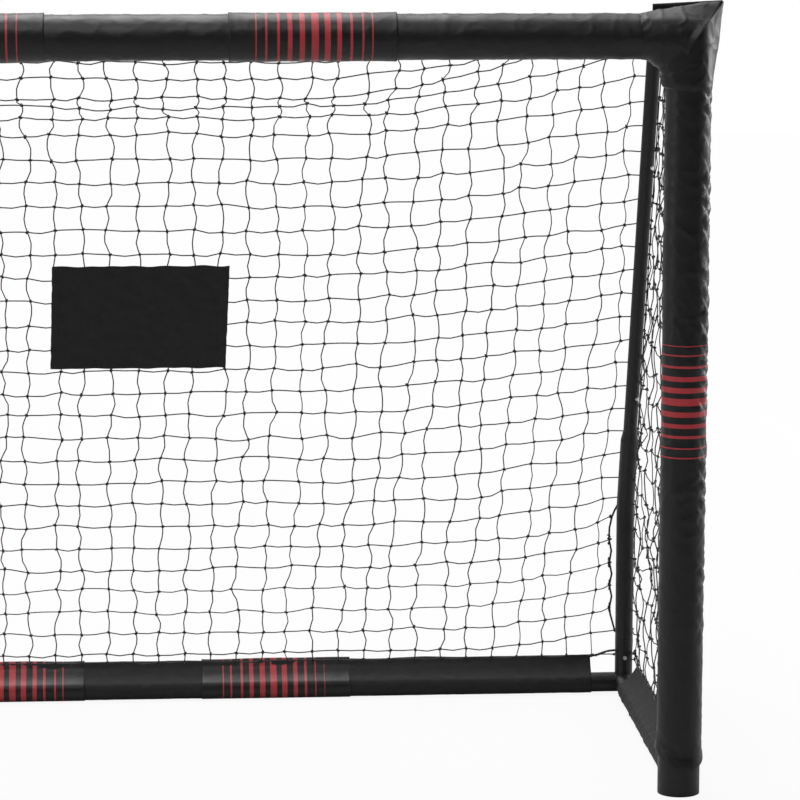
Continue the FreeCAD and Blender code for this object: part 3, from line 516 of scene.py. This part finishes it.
class GOAL_OT_corner_covers(bpy.types.Operator):
    """Adds the corner covers, whose crossbar end laps over the post"""

    bl_idname = "goal.corner_covers"
    bl_label = "Corner covers"

    def execute(self, context):
        sizes = context.scene.goal_sizes
        reach = 0.096
        low = 0.106
        # Ridges of the cover: (place along the tube, lift over the sleeve) up to its tip.
        tip = sizes.padding_lift
        top_ridge = ((-0.104, 0.0), (-0.068, 0.17 * tip), (-0.025, 0.46 * tip),
                     (0.029, 0.9 * tip), (0.062, tip))
        outer_ridge = ((-0.112, 0.0), (-0.084, 0.05 * tip), (-0.053, 0.27 * tip),
                       (-0.018, 0.49 * tip), (0.012, 0.67 * tip), (0.047, 0.82 * tip),
                       (0.064, 0.93 * tip))
        # Lap over the post by the height on the crossbar, from its underside to its top.
        laps = ((-1.0, 0.020), (-0.42, 0.0126), (0.57, 0.005), (0.93, 0.0048), (1.0, 0.001))
        mitre = 0.062 / 0.064
        for side, sign in SIDES:
            def world(point):
                return Vector((sign * (POST_X + point.x), POST_Y + point.y, CROSS_Z + point.z))

            def over(share, angle):
                top, front = math.cos(angle), -math.sin(angle)
                end = SLEEVE_R
                for _ in range(6):
                    end = mitre * top * tent_radius(angle, between(top_ridge, end))
                end += between(laps, top)
                x = -reach + (end + reach) * share
                radius = tent_radius(angle, between(top_ridge, x)) + 0.0022 * ease(
                    0.0, 0.5, share) - 0.0014 * (1 - ease(0.0, 0.25, share))
                radius += 0.0065 * ease(0.84, 1.0, share) * (1 - ease(-0.1, 0.8, top))
                point = Vector((x, front * radius, top * radius))
                point += corner_web(point, -top)
                point.z -= 0.016 * ease(0.6, 1.0, share) * ease(0.3, 0.95, -top)
                swell = crease_height(point, 3.0, sizes.crease * 0.5)
                return world(point + Vector((0, front * swell, top * swell)))

            def under(share, angle):
                out, front = math.cos(angle), -math.sin(angle)
                end = SLEEVE_R
                for _ in range(6):
                    end = out * tent_radius(angle, between(outer_ridge, end)) / mitre
                foot = -low - 0.007 * out
                z = foot + (end - foot) * share
                radius = tent_radius(angle, between(outer_ridge, z)) + 0.0006
                # Beside the lap's edge the cap falls in, so that the edge stands clear.
                past = out * radius - mitre * z - between(laps, z / radius)
                radius -= 0.004 * (1 - ease(0.0, 0.012, past)) * max(0.0, front) * (
                    1 - ease(0.5, 0.9, out))
                tab = ease(0.0, 0.006, z - foot) * (1 - ease(-0.075, -0.06, z))
                radius -= 0.0032 * (1 - ease(0.0, 0.018, z - foot))
                radius += 0.0065 * max(0.0, -out) ** 2 * tab
                point = Vector((out * radius, front * radius, z))
                point += corner_web(point, -out)
                swell = crease_height(point, 4.0, sizes.crease * 0.4)
                return world(point + Vector((out * swell, front * swell, 0)))

            for name, place in (("lap", over), ("cap", under)):
                bm = tube_skin(96, 60, place, SLEEVE_R, 0.18)
                replaced = (f"corner_hood_{side}",) if name == "cap" else ()
                piece = add_piece(f"corner_{name}_{side}", bm, cover_finish(), replaced)
                add_wall(piece, 0.0016)

            flap = flat_cloth(24, 6, 0.13, 0.03)
            for vert in flap.verts:
                along, up = vert.co.x + 0.5, vert.co.y + 0.5
                x = -0.068 + 0.131 * along
                foot = 0.038 + 0.020 * along
                crest = 0.06 + 0.0078 * along
                y = 0.016 * (1 - along) + 0.003 * noise.noise(Vector((x * 40, up, 1.0)))
                vert.co = world(Vector((x, y, foot + (crest - foot) * up)))
            bmesh.ops.recalc_face_normals(flap, faces=flap.faces)
            piece = add_piece(f"corner_flap_{side}", flap, cover_finish())
            add_wall(piece, 0.0016, 0.0)
        return {"FINISHED"}


class GOAL_OT_striped_bands(bpy.types.Operator):
    """Adds the striped bands round the crossbar and the rear bar"""

    bl_idname = "goal.striped_bands"
    bl_label = "Striped bands"

    def execute(self, context):
        depth = context.scene.goal_sizes.crease
        near, far = 0.172, 0.488
        finish = cover_finish("crossbar_band", (.2223, .241, .2634, .2858, .3082, .3325,
                                                .3559, .3783, .4008, .4223, .4401),
                              near, far)
        for side, sign in SIDES:
            def place(share, angle):
                x = near + (far - near) * share
                out, up = math.cos(angle), math.sin(angle)
                flat = 0.0012 * ease(0.5, 1.0, math.cos(angle - math.radians(215)))
                spot = Vector((x, out * SLEEVE_R, up * SLEEVE_R))
                swell = crease_height(spot, 5.0, depth * 0.25)
                edge = 0.0006 * (1 - ease(0.0, 0.03, share) * ease(0.0, 0.03, 1 - share))
                radius = SLEEVE_R + 0.0019 + swell - flat + edge
                return Vector((sign * x, POST_Y + out * radius, CROSS_Z + up * radius))

            bm = tube_skin(96, 110, place, SLEEVE_R, far - near, near, 0.0018)
            add_piece(f"crossbar_band_{side}", bm, finish, (f"crossbar_cuff_{side}",))

        near, far = 0.126, 0.447
        finish = cover_finish("rear_band", (.1714, .1887, .2113, .2329, .2566, .2803,
                                            .3041, .3279, .3495, .3711, .3906), near, far)
        for side, sign in SIDES:
            def place_rear(share, angle):
                x = near + (far - near) * share
                y, z = hem_profile(angle, 0.0019, 0.003 * noise.noise(Vector((x * 9, 4, 0))))
                swell = crease_height(Vector((x, y, z)), 6.0, depth * 0.3)
                z = max(z, -BAR_Z + 0.0004)
                return Vector((sign * x, REAR_Y + y * (1 + swell * 20), BAR_Z + z))

            bm = tube_skin(96, 110, place_rear, HEM_R, far - near, near, 0.0014)
            add_piece(f"rear_band_{side}", bm, finish, (f"rear_cuff_{side}",))
        return {"FINISHED"}


# ---- hems


def hem_profile(angle, grow, lift):
    """Outline of a hem: round under the tube, drawn up to an edge at its outer side.

    Returns the outward and upward distances from the tube's axis.
    """
    radius = HEM_R + grow
    across, up = math.cos(angle) * radius, math.sin(angle) * radius
    crest = HEM_EDGE_Z - BAR_Z + grow + lift
    share = ease(math.radians(8), math.radians(80), angle) if angle <= math.radians(80) else (
        1 - ease(math.radians(80), math.radians(140), angle))
    if angle < math.radians(140):
        edge = radius - 0.0016 - 0.0034 * ease(math.radians(70), math.radians(92), angle)
        across += (edge - across) * share ** 0.8
        up += (crest - up) * share ** 1.3
    return across, up


def hem_section(angle, wave, spot, seed, depth):
    """Outward and upward distances of a puckered hem, whose crest rises and falls with wave.

    spot turns them into the place at which the puckers' height is read.
    """
    across, up = hem_profile(angle, 0.0, 0.003 * noise.noise(wave) - 0.001)
    pucker = crease_height(spot(across, up), seed, depth * 0.5)
    scale = 1 + pucker / HEM_R * (0.3 if up < -0.01 else 1.0)
    return across * scale, max(up * (1 if up > 0.02 else scale), -BAR_Z + 0.0006)


class GOAL_OT_ground_hems(bpy.types.Operator):
    """Adds the hems that the net is sewn into round the ground tubes"""

    bl_idname = "goal.ground_hems"
    bl_label = "Ground hems"

    def execute(self, context):
        depth = context.scene.goal_sizes.crease
        finish = finish_named("woven_polyester_hem", woven_polyester,
                              context.scene.goal_colours.hem, 0.0016)
        half = POST_X - REAR_HEM_GAP

        def place_rear(share, angle):
            x = half * (2 * share - 1)
            y, z = hem_section(angle, Vector((x * 9, 4, 0)),
                               lambda out, up: Vector((x, out, up)), 7.0, depth)
            return Vector((x, REAR_Y + y, BAR_Z + z))

        bm = tube_skin(72, 360, place_rear, HEM_R, 2 * half, lip=0.0012)
        add_piece("rear_hem_cover", bm, finish, ("rear_hem",))

        start, end = POST_Y + 0.062, REAR_Y - SIDE_HEM_GAP
        for side, sign in SIDES:
            def place_side(share, angle):
                y = start + (end - start) * share
                x, z = hem_section(angle, Vector((y * 11, 8, 0)),
                                   lambda out, up: Vector((out, y, up)), 8.0, depth)
                return Vector((sign * (POST_X + x), y, BAR_Z + z))

            bm = tube_skin(72, 150, place_side, HEM_R, end - start, lip=0.0012)
            add_piece(f"side_hem_cover_{side}", bm, finish, (f"side_hem_{side}",))
        return {"FINISHED"}


# ---- nets and ropes


def on_path(points, distance):
    """The point at a distance along a path of straight runs, and on past its end."""
    for start, end in zip(points[:-1], points[1:]):
        run = (end - start).length
        if distance <= run or end is points[-1]:
            return start.lerp(end, distance / run)
        distance -= run


def smooth_path(points, rounds):
    """Rounds a path of straight runs into a soft one with even steps."""
    total = sum((b - a).length for a, b in zip(points[:-1], points[1:]))
    fine = [on_path(points, total * i / 240) for i in range(241)]
    for _ in range(rounds):
        fine = [fine[0]] + [(a + b + c) / 3 for a, b, c in zip(fine, fine[1:], fine[2:])] + [
            fine[-1]]
    return fine


def strand_bundle(name, strands, thick, sides):
    """Round strands through their points, joined into one mesh."""
    curve = bpy.data.curves.new(name, "CURVE")
    curve.dimensions = "3D"
    curve.bevel_depth = thick / 2
    curve.bevel_resolution = sides
    curve.resolution_u = 2
    curve.use_fill_caps = True
    for points in strands:
        spline = curve.splines.new("BEZIER")
        spline.bezier_points.add(len(points) - 1)
        for knot, point in zip(spline.bezier_points, points):
            knot.co = point
            knot.handle_left_type = "AUTO"
            knot.handle_right_type = "AUTO"
    holder = bpy.data.objects.new(name, curve)
    bpy.context.collection.objects.link(holder)
    bpy.context.view_layer.update()
    mesh = bpy.data.meshes.new_from_object(holder)
    bm = bmesh.new()
    bm.from_mesh(mesh)
    bpy.data.objects.remove(holder)
    bpy.data.curves.remove(curve)
    bpy.data.meshes.remove(mesh)
    return bm


def knotted(bm, knots, length, chance):
    """Adds a lumpy knot at each place to the strands."""
    for place in knots:
        made = bmesh.ops.create_icosphere(bm, subdivisions=1, radius=length / 2)["verts"]
        spin = Matrix.Rotation(chance.uniform(0, math.pi), 3, "Y")
        lean = Matrix.Rotation(chance.uniform(-0.6, 0.6), 3, "X")
        for vert in made:
            bump = 1 + 0.35 * noise.noise(vert.co * 300 + place * 50)
            vert.co = place + lean @ spin @ Vector((vert.co.x * bump, vert.co.y * 0.62,
                                                    vert.co.z * 0.66 * bump))


def net_paths():
    """Side-on paths of the net from hem to crossbar, at the stays and at the middle.

    Each comes with its length and the height of a row on its upright part.
    """
    at_stays = [(0.0215, 0.079), (0.0215, 0.430), (-0.354, 1.490), (-0.775, 1.495)]
    at_middle = [(0.005, 0.080), (-0.4121, 1.2579), (-0.4518, 1.2936), (-0.4982, 1.320),
                 (-0.5484, 1.3383), (-0.5816, 1.3801), (-0.6228, 1.4141), (-0.775, 1.490)]
    paths = []
    for places, rounding, pitch in ((at_stays, 3, 0.0551), (at_middle, 2, 0.0534)):
        path = smooth_path([Vector((0, REAR_Y + y, z)) for y, z in places], rounding)
        total = sum((b - a).length for a, b in zip(path[:-1], path[1:]))
        paths.append((path, total, pitch))
    return paths


def main_net_point(x, row, paths):
    """Where the main net hangs at a distance across and a count of rows from the hem."""
    spots = []
    for path, total, pitch in paths:
        along = row * pitch
        if row > EVEN_ROWS:
            even = EVEN_ROWS * pitch
            along = even + (total - even) * (row - EVEN_ROWS) / (NET_ROWS - EVEN_ROWS)
        spots.append(on_path(path, along))
    # The level rows are drawn up only beside the legs.
    if 0 < row < LEVEL_ROWS:
        spots[0].z += 0.0045 * (LEVEL_ROWS - row)
    bend = 1.5 + 2.5 * (1 - ease(2, 12, row))
    share = min(1.0, abs(x) / POST_X)
    spot = spots[1].lerp(spots[0], max(0.0, (share - 0.35) / 0.65) ** bend)
    spot.x = x
    return spot


def net_strands(knots, upright, level, edge_start=0):
    """Strands up a net's columns and then along its rows, through its knots.

    upright(column, row) and level() move the middle of each gap. The outermost columns'
    strands start at the row edge_start.
    """
    columns, rows = max(knots)
    strands = []
    for column in range(columns + 1):
        first = 0 if 0 < column < columns else edge_start
        points = [knots[column, first]]
        for row in range(first, rows):
            start, end = knots[column, row], knots[column, row + 1]
            points += [(start + end) / 2 + upright(column, row), end]
        strands.append(points)
    for row in range(rows + 1):
        points = [knots[0, row]]
        for column in range(columns):
            start, end = knots[column, row], knots[column + 1, row]
            points += [(start + end) / 2 + level(), end]
        strands.append(points)
    return strands


def twine_finish(context):
    """The finish of the net's twine."""
    return finish_named("twisted_polyethylene_net", twisted_twine,
                        context.scene.goal_colours.net, 0.003)


class GOAL_OT_main_net(bpy.types.Operator):
    """Adds the knotted net of the roof, back and foot, slack at its middle"""

    bl_idname = "goal.main_net"
    bl_label = "Main net"

    def execute(self, context):
        sizes = context.scene.goal_sizes
        chance = random.Random(11)
        counts = [0.0] + [0.4 + row for row in range(31)] + [NET_ROWS]
        rows, columns = len(counts) - 1, NET_COLUMNS
        half = columns / 2 * sizes.mesh_size
        paths = net_paths()
        knots = {}
        for column in range(columns + 1):
            drift = 0.0
            for row in range(rows + 1):
                across = 2 * column / columns - 1
                spot = main_net_point(across * half, counts[row], paths)
                # Towards the hem the columns lean to the left, as in the photograph, and
                # the edges come round to the inner side of the legs.
                if column in (0, columns):
                    inside = (1 - ease(0.39, 0.45, spot.z)) * (0.75 + 0.25 * ease(
                        0.14, 0.18, spot.z))
                    spot.x -= math.copysign(0.0505, across) * inside
                else:
                    spot.x -= (0.0215 + 0.0105 * spot.x) * (1 - ease(0.12, 0.85, spot.z))
                free = min(1.0, row / 2, (rows - row) / 2) * (column not in (0, columns))
                drift = 0.55 * drift + chance.gauss(0, 0.0042)
                wave = noise.noise(Vector((across * 9, row * 0.33, 3.0)))
                spot.x += free * (drift + 0.004 * wave)
                spot.z += free * (chance.gauss(0, 0.0022) + 0.005 * noise.noise(
                    Vector((across * 7, row * 0.4, 8.0))))
                spot.y += free * 0.005 * noise.noise(Vector((across * 8, row * 0.5, 15.0)))
                knots[column, row] = spot

        def swerve(column, row):
            inner = 0 < column < columns and 0 < row < rows - 1
            side = chance.choice((-1, 1)) * chance.uniform(0.002, 0.0065) * inner
            return Vector((side, 0.3 * side, 0))

        def sag():
            return Vector((0, 0, -chance.uniform(-0.001, 0.0045)))

        # Beside the legs the rope takes the place of the edge columns' twine.
        strands = net_strands(knots, swerve, sag, ROPE_ROWS)
        bm = strand_bundle("main_net", strands, sizes.twine, 0)
        knotted(bm, knots.values(), sizes.knot, chance)
        add_piece("main_net", bm, twine_finish(context),
                  ("net_roof", "net_back", "net_foot"))
        return {"FINISHED"}


def side_edge_y(z):
    """How far back a side net reaches at a height: to the main net's edge."""
    return REAR_Y + 0.0215 - 0.3755 * max(0.0, z - 0.43) / 1.06


class GOAL_OT_side_nets(bpy.types.Operator):
    """Adds the knotted nets of both sides"""

    bl_idname = "goal.side_nets"
    bl_label = "Side nets"

    def execute(self, context):
        sizes = context.scene.goal_sizes
        columns, rows = 15, 25
        low, high = 0.079, CROSS_Z + 0.012
        front = POST_Y + SLEEVE_R + 0.001
        edge = NET_COLUMNS / 2 * sizes.mesh_size
        for side, sign in SIDES:
            chance = random.Random(23)
            knots = {}
            for row in range(rows + 1):
                z = low + (high - low) * row / rows
                back = side_edge_y(z)
                for column in range(columns + 1):
                    share = column / columns
                    y = front + (back - front) * share
                    slack = math.sin(math.pi * share) * math.sin(math.pi * row / rows) ** 0.5
                    free = 1.0 if 0 < column < columns and 0 < row < rows else 0.0
                    bunch = noise.noise(Vector((y * 5.5, z * 2.2, 1.0)))
                    taut = ease(0.6, 1.1, z)
                    inwards = 0.002 * slack - 0.003 * taut * free + free * (1 - 0.75 * taut) * (
                        0.014 * bunch + chance.gauss(0, 0.0035))
                    knots[column, row] = Vector((
                        sign * (POST_X + 0.014 + (edge - POST_X - 0.014) * share - inwards),
                        y + free * chance.gauss(0, 0.006),
                        z + free * (chance.gauss(0, 0.008) - 0.012 * slack)))

            def swerve(column, row):
                return Vector((sign * chance.gauss(0, 0.004), chance.gauss(0, 0.005), 0))

            def sag():
                return -Vector((sign * chance.uniform(0, 0.004), 0, chance.uniform(0, 0.008)))

            bm = strand_bundle(f"side_net_{side}", net_strands(knots, swerve, sag),
                               sizes.twine, 0)
            knotted(bm, knots.values(), sizes.knot, chance)
            add_piece(f"side_net_{side}", bm, twine_finish(context),
                      (f"net_side_{side}",))
        return {"FINISHED"}


class GOAL_OT_lacing_ropes(bpy.types.Operator):
    """Adds the border rope that ties the net's edge to each leg and side hem"""

    bl_idname = "goal.lacing_ropes"
    bl_label = "Lacing ropes"

    def execute(self, context):
        rope = context.scene.goal_sizes.rope
        finish = finish_named("braided_polypropylene_rope", twisted_twine,
                              context.scene.goal_colours.net, 0.005)
        at_leg = POST_X - 0.019 - rope / 2
        for side, sign in SIDES:
            chance = random.Random(31)

            def spot(across, back, z):
                return Vector((sign * across, REAR_Y + back, z))

            def shift(most):
                return chance.uniform(-most, most)

            # The rope leaves the leg's bend, is drawn in by each row, and ends at the leg.
            points = [spot(at_leg + 0.006, 0.014, 0.412), spot(at_leg - 0.005, 0.020, 0.3855)]
            lumps = []
            for z in (0.335, 0.284, 0.234, 0.183):
                drawn = spot(at_leg - 0.0095 + shift(0.0015), 0.021, z)
                points += [drawn, drawn + Vector((sign * 0.0055, 0.001, -0.026))]
                lumps += [drawn + Vector((shift(0.0012), shift(0.0012), 0.009 - 0.0036 * step))
                          for step in range(6)]
            points.append(spot(at_leg + 0.004, 0.014, 0.130))
            foot = [spot(POST_X - REAR_HEM_GAP - 0.006, 0.017, 0.076),
                    spot(POST_X - 0.058, 0.016, 0.079), spot(POST_X - 0.036, 0.012, 0.088),
                    spot(at_leg + 0.005, 0.010, 0.091)]
            for start, end in zip(foot[:-1], foot[1:]):
                lumps += [start.lerp(end, share / 4) for share in range(4)]
            # Below the leg's outer side the net's edge is knotted to the side hem.
            heel = [spot(POST_X + 0.022, -0.004, 0.090), spot(POST_X + 0.024, -0.030, 0.084),
                    spot(POST_X + 0.021, -SIDE_HEM_GAP, 0.079)]
            lumps += [heel[0].lerp(heel[1], share) + Vector((shift(0.003), 0, shift(0.004)))
                      for share in (0.0, 0.2, 0.4, 0.6, 0.8, 1.0)]
            bm = strand_bundle(f"lacing_rope_{side}", [points, foot, heel], rope, 2)
            knotted(bm, lumps, 0.0078, chance)
            add_piece(f"lacing_rope_{side}", bm, finish, (f"lacing_cord_{side}",))
        return {"FINISHED"}


# ---- bare panel


class GOAL_OT_blank_panel(bpy.types.Operator):
    """Adds the bare hemmed cloth panel on the back of the net"""

    bl_idname = "goal.blank_panel"
    bl_label = "Blank panel"

    def execute(self, context):
        finish = finish_named("woven_polyester_panel", woven_polyester,
                              context.scene.goal_colours.panel, 0.0012)
        width, drop = 0.36, 0.235
        # How far up the net's middle path from the hem the panel's middle lies.
        path, height = net_paths()[1][0], 0.839
        bm = flat_cloth(90, 54, width, drop)
        for vert in bm.verts:
            across, up = vert.co.x * 2, vert.co.y * 2
            spot = on_path(path, height + up * drop / 2)
            x = across * width / 2 + 0.004 * up
            pinch = 0.0028 * noise.noise(Vector((across * 7, up * 5, 2.0)))
            border = 0.001 if max(abs(across), abs(up)) > 0.93 else 0.0
            spot.x = x + 0.0015 * noise.noise(Vector((across, up * 6, 4.0)))
            spot.z += 0.0022 * noise.noise(Vector((across * 5, up, 9.0)))
            spot.y += -0.006 + pinch - border
            vert.co = spot
        bmesh.ops.recalc_face_normals(bm, faces=bm.faces)
        panel = add_piece("blank_panel", bm, finish, ("banner_panel",))
        add_wall(panel, 0.0012)
        return {"FINISHED"}


# ---- finishes of the steel frame


def add_leaf_spring(name, node, finish):
    """Adds a folded leaf spring, a copy of its CAD node's mesh, in place of that node."""
    joint = next(j for j in frame["joints"] if j["name"] == name.replace(
        "spring", "button") + "_push")
    bm = bmesh.new()
    bm.from_mesh(node.data)
    bmesh.ops.remove_doubles(bm, verts=bm.verts, dist=1e-6)
    outwards = Vector(joint["axis"]).normalized()
    piece = add_piece(f"{name}_leaf", bm, finish, (name,), smooth=False)
    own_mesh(piece)


class GOAL_OT_frame_finishes(bpy.types.Operator):
    """Gives the tubes, plugs, springs and buttons of the frame their finishes"""

    bl_idname = "goal.frame_finishes"
    bl_label = "Frame finishes"

    def execute(self, context):
        colours = context.scene.goal_colours
        tube = finish_named("powder_coated_steel", powder_coat, colours.tube)
        plug = finish_named("moulded_polyethylene", moulded_polyethylene, colours.net)
        button = finish_named("plated_steel_button", plated_steel, "#E6E7E8", 0.42)
        spring = finish_named("plated_steel_spring", plated_steel, "#9A9C9F", 0.35)
        for name, node in frame["nodes"].items():
            if "spring" in name:
                add_leaf_spring(name, node, spring)
                continue
            node.data.materials.clear()
            node.data.materials.append(
                button if "button" in name else plug if "plug" in name else tube)
        return {"FINISHED"}


# ---- stage


class GOAL_OT_studio(bpy.types.Operator):
    """Adds the pale floor, the backdrop, the soft lights and the camera"""

    bl_idname = "goal.studio"
    bl_label = "Studio"

    def execute(self, context):
        scene = context.scene
        floor = bmesh.new()
        bmesh.ops.create_grid(floor, x_segments=1, y_segments=1, size=14.0)
        mesh = bpy.data.meshes.new("studio_floor")
        floor.to_mesh(mesh)
        floor.free()
        stage = bpy.data.objects.new("studio_floor", mesh)
        scene.collection.objects.link(stage)
        paper, tree, shader, place = blank_finish("white_studio_paper", 0.9,
                                                  Base_Color=linear("#BCBCBC"))
        rays = add_node(tree, "LightPath")
        glow = add_node(tree, "Emission", Color=(1, 1, 1, 1), Strength=1.0)
        # Near the goal the paper keeps its shadow; further off it fades into the backdrop.
        far = add_node(tree, "VectorMath", operation="LENGTH", _0=place)
        fade = add_node(tree, "MapRange", _0=far.outputs["Value"], _1=1.2, _2=4.0, _3=0.9,
                        _4=0.985)
        share = add_node(tree, "Math", operation="MULTIPLY",
                         _0=rays.outputs["Is Camera Ray"], _1=fade)
        mix = add_node(tree, "MixShader", _0=share, _1=shader, _2=glow)
        feed(tree, tree.nodes["Material Output"], Surface=mix)
        mesh.materials.append(paper)

        world = bpy.data.worlds.new("white_studio")
        scene.world = world
        world.use_nodes = True
        tree = world.node_tree
        # Glossy rays meet the white backdrop behind the goal and a dim room in front of it.
        rays = add_node(tree, "LightPath")
        seen = add_node(tree, "Math", operation="MAXIMUM",
                        _0=rays.outputs["Is Camera Ray"], _1=rays.outputs["Is Transmission Ray"])
        split = add_node(tree, "SeparateXYZ",
                         _0=add_node(tree, "TexCoord").outputs["Generated"])
        backdrop = add_node(tree, "MapRange", _0=split.outputs[1], _1=-0.1, _2=0.6, _3=0.0,
                            _4=1.0)
        gloss = add_node(tree, "Math", operation="MULTIPLY",
                         _0=rays.outputs["Is Glossy Ray"], _1=backdrop)
        soft = add_node(tree, "Math", operation="MULTIPLY_ADD",
                        _0=rays.outputs["Is Diffuse Ray"], _1=0.5, _2=seen)
        bright = add_node(tree, "Math", operation="MAXIMUM", _0=soft, _1=gloss)
        strength = add_node(tree, "MapRange", _0=bright, _1=0.0, _2=1.0, _3=0.12, _4=1.0)
        feed(tree, tree.nodes["Background"], Color=(1, 1, 1, 1), Strength=strength)

        for name, place, aim, size, power in (
                ("overhead_softbox", (-0.4, 1.1, 4.9), (0, 0, 0.9), 3.4, 240),
                ("front_softbox", (-0.6, -3.0, 4.6), (0, 0, 0.9), 2.4, 80),
                ("right_softbox", (5.4, 1.8, 2.0), (1.0, -0.2, 0.9), 2.4, 160),
                ("left_softbox", (-5.5, -1.0, 2.2), (0, 0, 0.8), 2.4, 85)):
            lamp = bpy.data.lights.new(name, "AREA")
            lamp.size = size
            lamp.energy = power
            holder = bpy.data.objects.new(name, lamp)
            holder.location = place
            towards = Vector(aim) - Vector(place)
            holder.rotation_euler = towards.to_track_quat("-Z", "Y").to_euler()
            scene.collection.objects.link(holder)

        # The camera fitted to the photograph: its place, its focal length and the
        # photograph's width in pixels, and its turns in degrees.
        spot, focal, wide = (0.0061, POST_Y - 6.8551, 1.9043), 3638.98, 800
        yaw, pitch, roll = (math.radians(a) for a in (4.0871, 9.2649, 0.0961))
        ahead = Vector((math.sin(yaw) * math.cos(pitch), math.cos(yaw) * math.cos(pitch),
                        -math.sin(pitch)))
        level = Vector((math.cos(yaw), -math.sin(yaw), 0))
        right = level * math.cos(roll) + level.cross(ahead) * math.sin(roll)
        turn = Matrix((right, right.cross(ahead), -ahead)).transposed()
        lens = bpy.data.cameras.new("camera")
        lens.sensor_width = 36
        lens.lens = focal / wide * lens.sensor_width
        lens.clip_end = 60
        camera = bpy.data.objects.new("camera", lens)
        camera.matrix_world = Matrix.Translation(spot) @ turn.to_4x4()
        scene.collection.objects.link(camera)
        scene.camera = camera
        scene.view_settings.view_transform = "Standard"
        return {"FINISHED"}


class GOAL_PT_panel(bpy.types.Panel):
    """Lists the goal's pieces in the sidebar"""

    bl_idname = "GOAL_PT_panel"
    bl_label = "Garden Goal"
    bl_space_type = "VIEW_3D"
    bl_region_type = "UI"
    bl_category = "Garden Goal"

    def draw(self, context):
        layout = self.layout
        for group in (context.scene.goal_sizes, context.scene.goal_colours):
            for name in group.__annotations__:
                layout.prop(group, name)
        for operator in PIECES:
            layout.operator(operator.bl_idname)


PIECES = (
    GOAL_OT_frame_finishes,
    GOAL_OT_crossbar_padding,
    GOAL_OT_post_padding,
    GOAL_OT_corner_covers,
    GOAL_OT_striped_bands,
    GOAL_OT_ground_hems,
    GOAL_OT_main_net,
    GOAL_OT_side_nets,
    GOAL_OT_lacing_ropes,
    GOAL_OT_blank_panel,
    GOAL_OT_studio,
)
CLASSES = (GoalSizes, GoalColours) + PIECES + (GOAL_PT_panel,)


def register():
    for item in CLASSES:
        bpy.utils.register_class(item)
    bpy.types.Scene.goal_sizes = PointerProperty(type=GoalSizes)
    bpy.types.Scene.goal_colours = PointerProperty(type=GoalColours)


def unregister():
    del bpy.types.Scene.goal_colours
    del bpy.types.Scene.goal_sizes
    for item in reversed(CLASSES):
        bpy.utils.unregister_class(item)


def main():
    register()
    for operator in PIECES:
        getattr(bpy.ops.goal, operator.bl_idname.split(".")[1])()


if __name__ == "__main__":
    main()
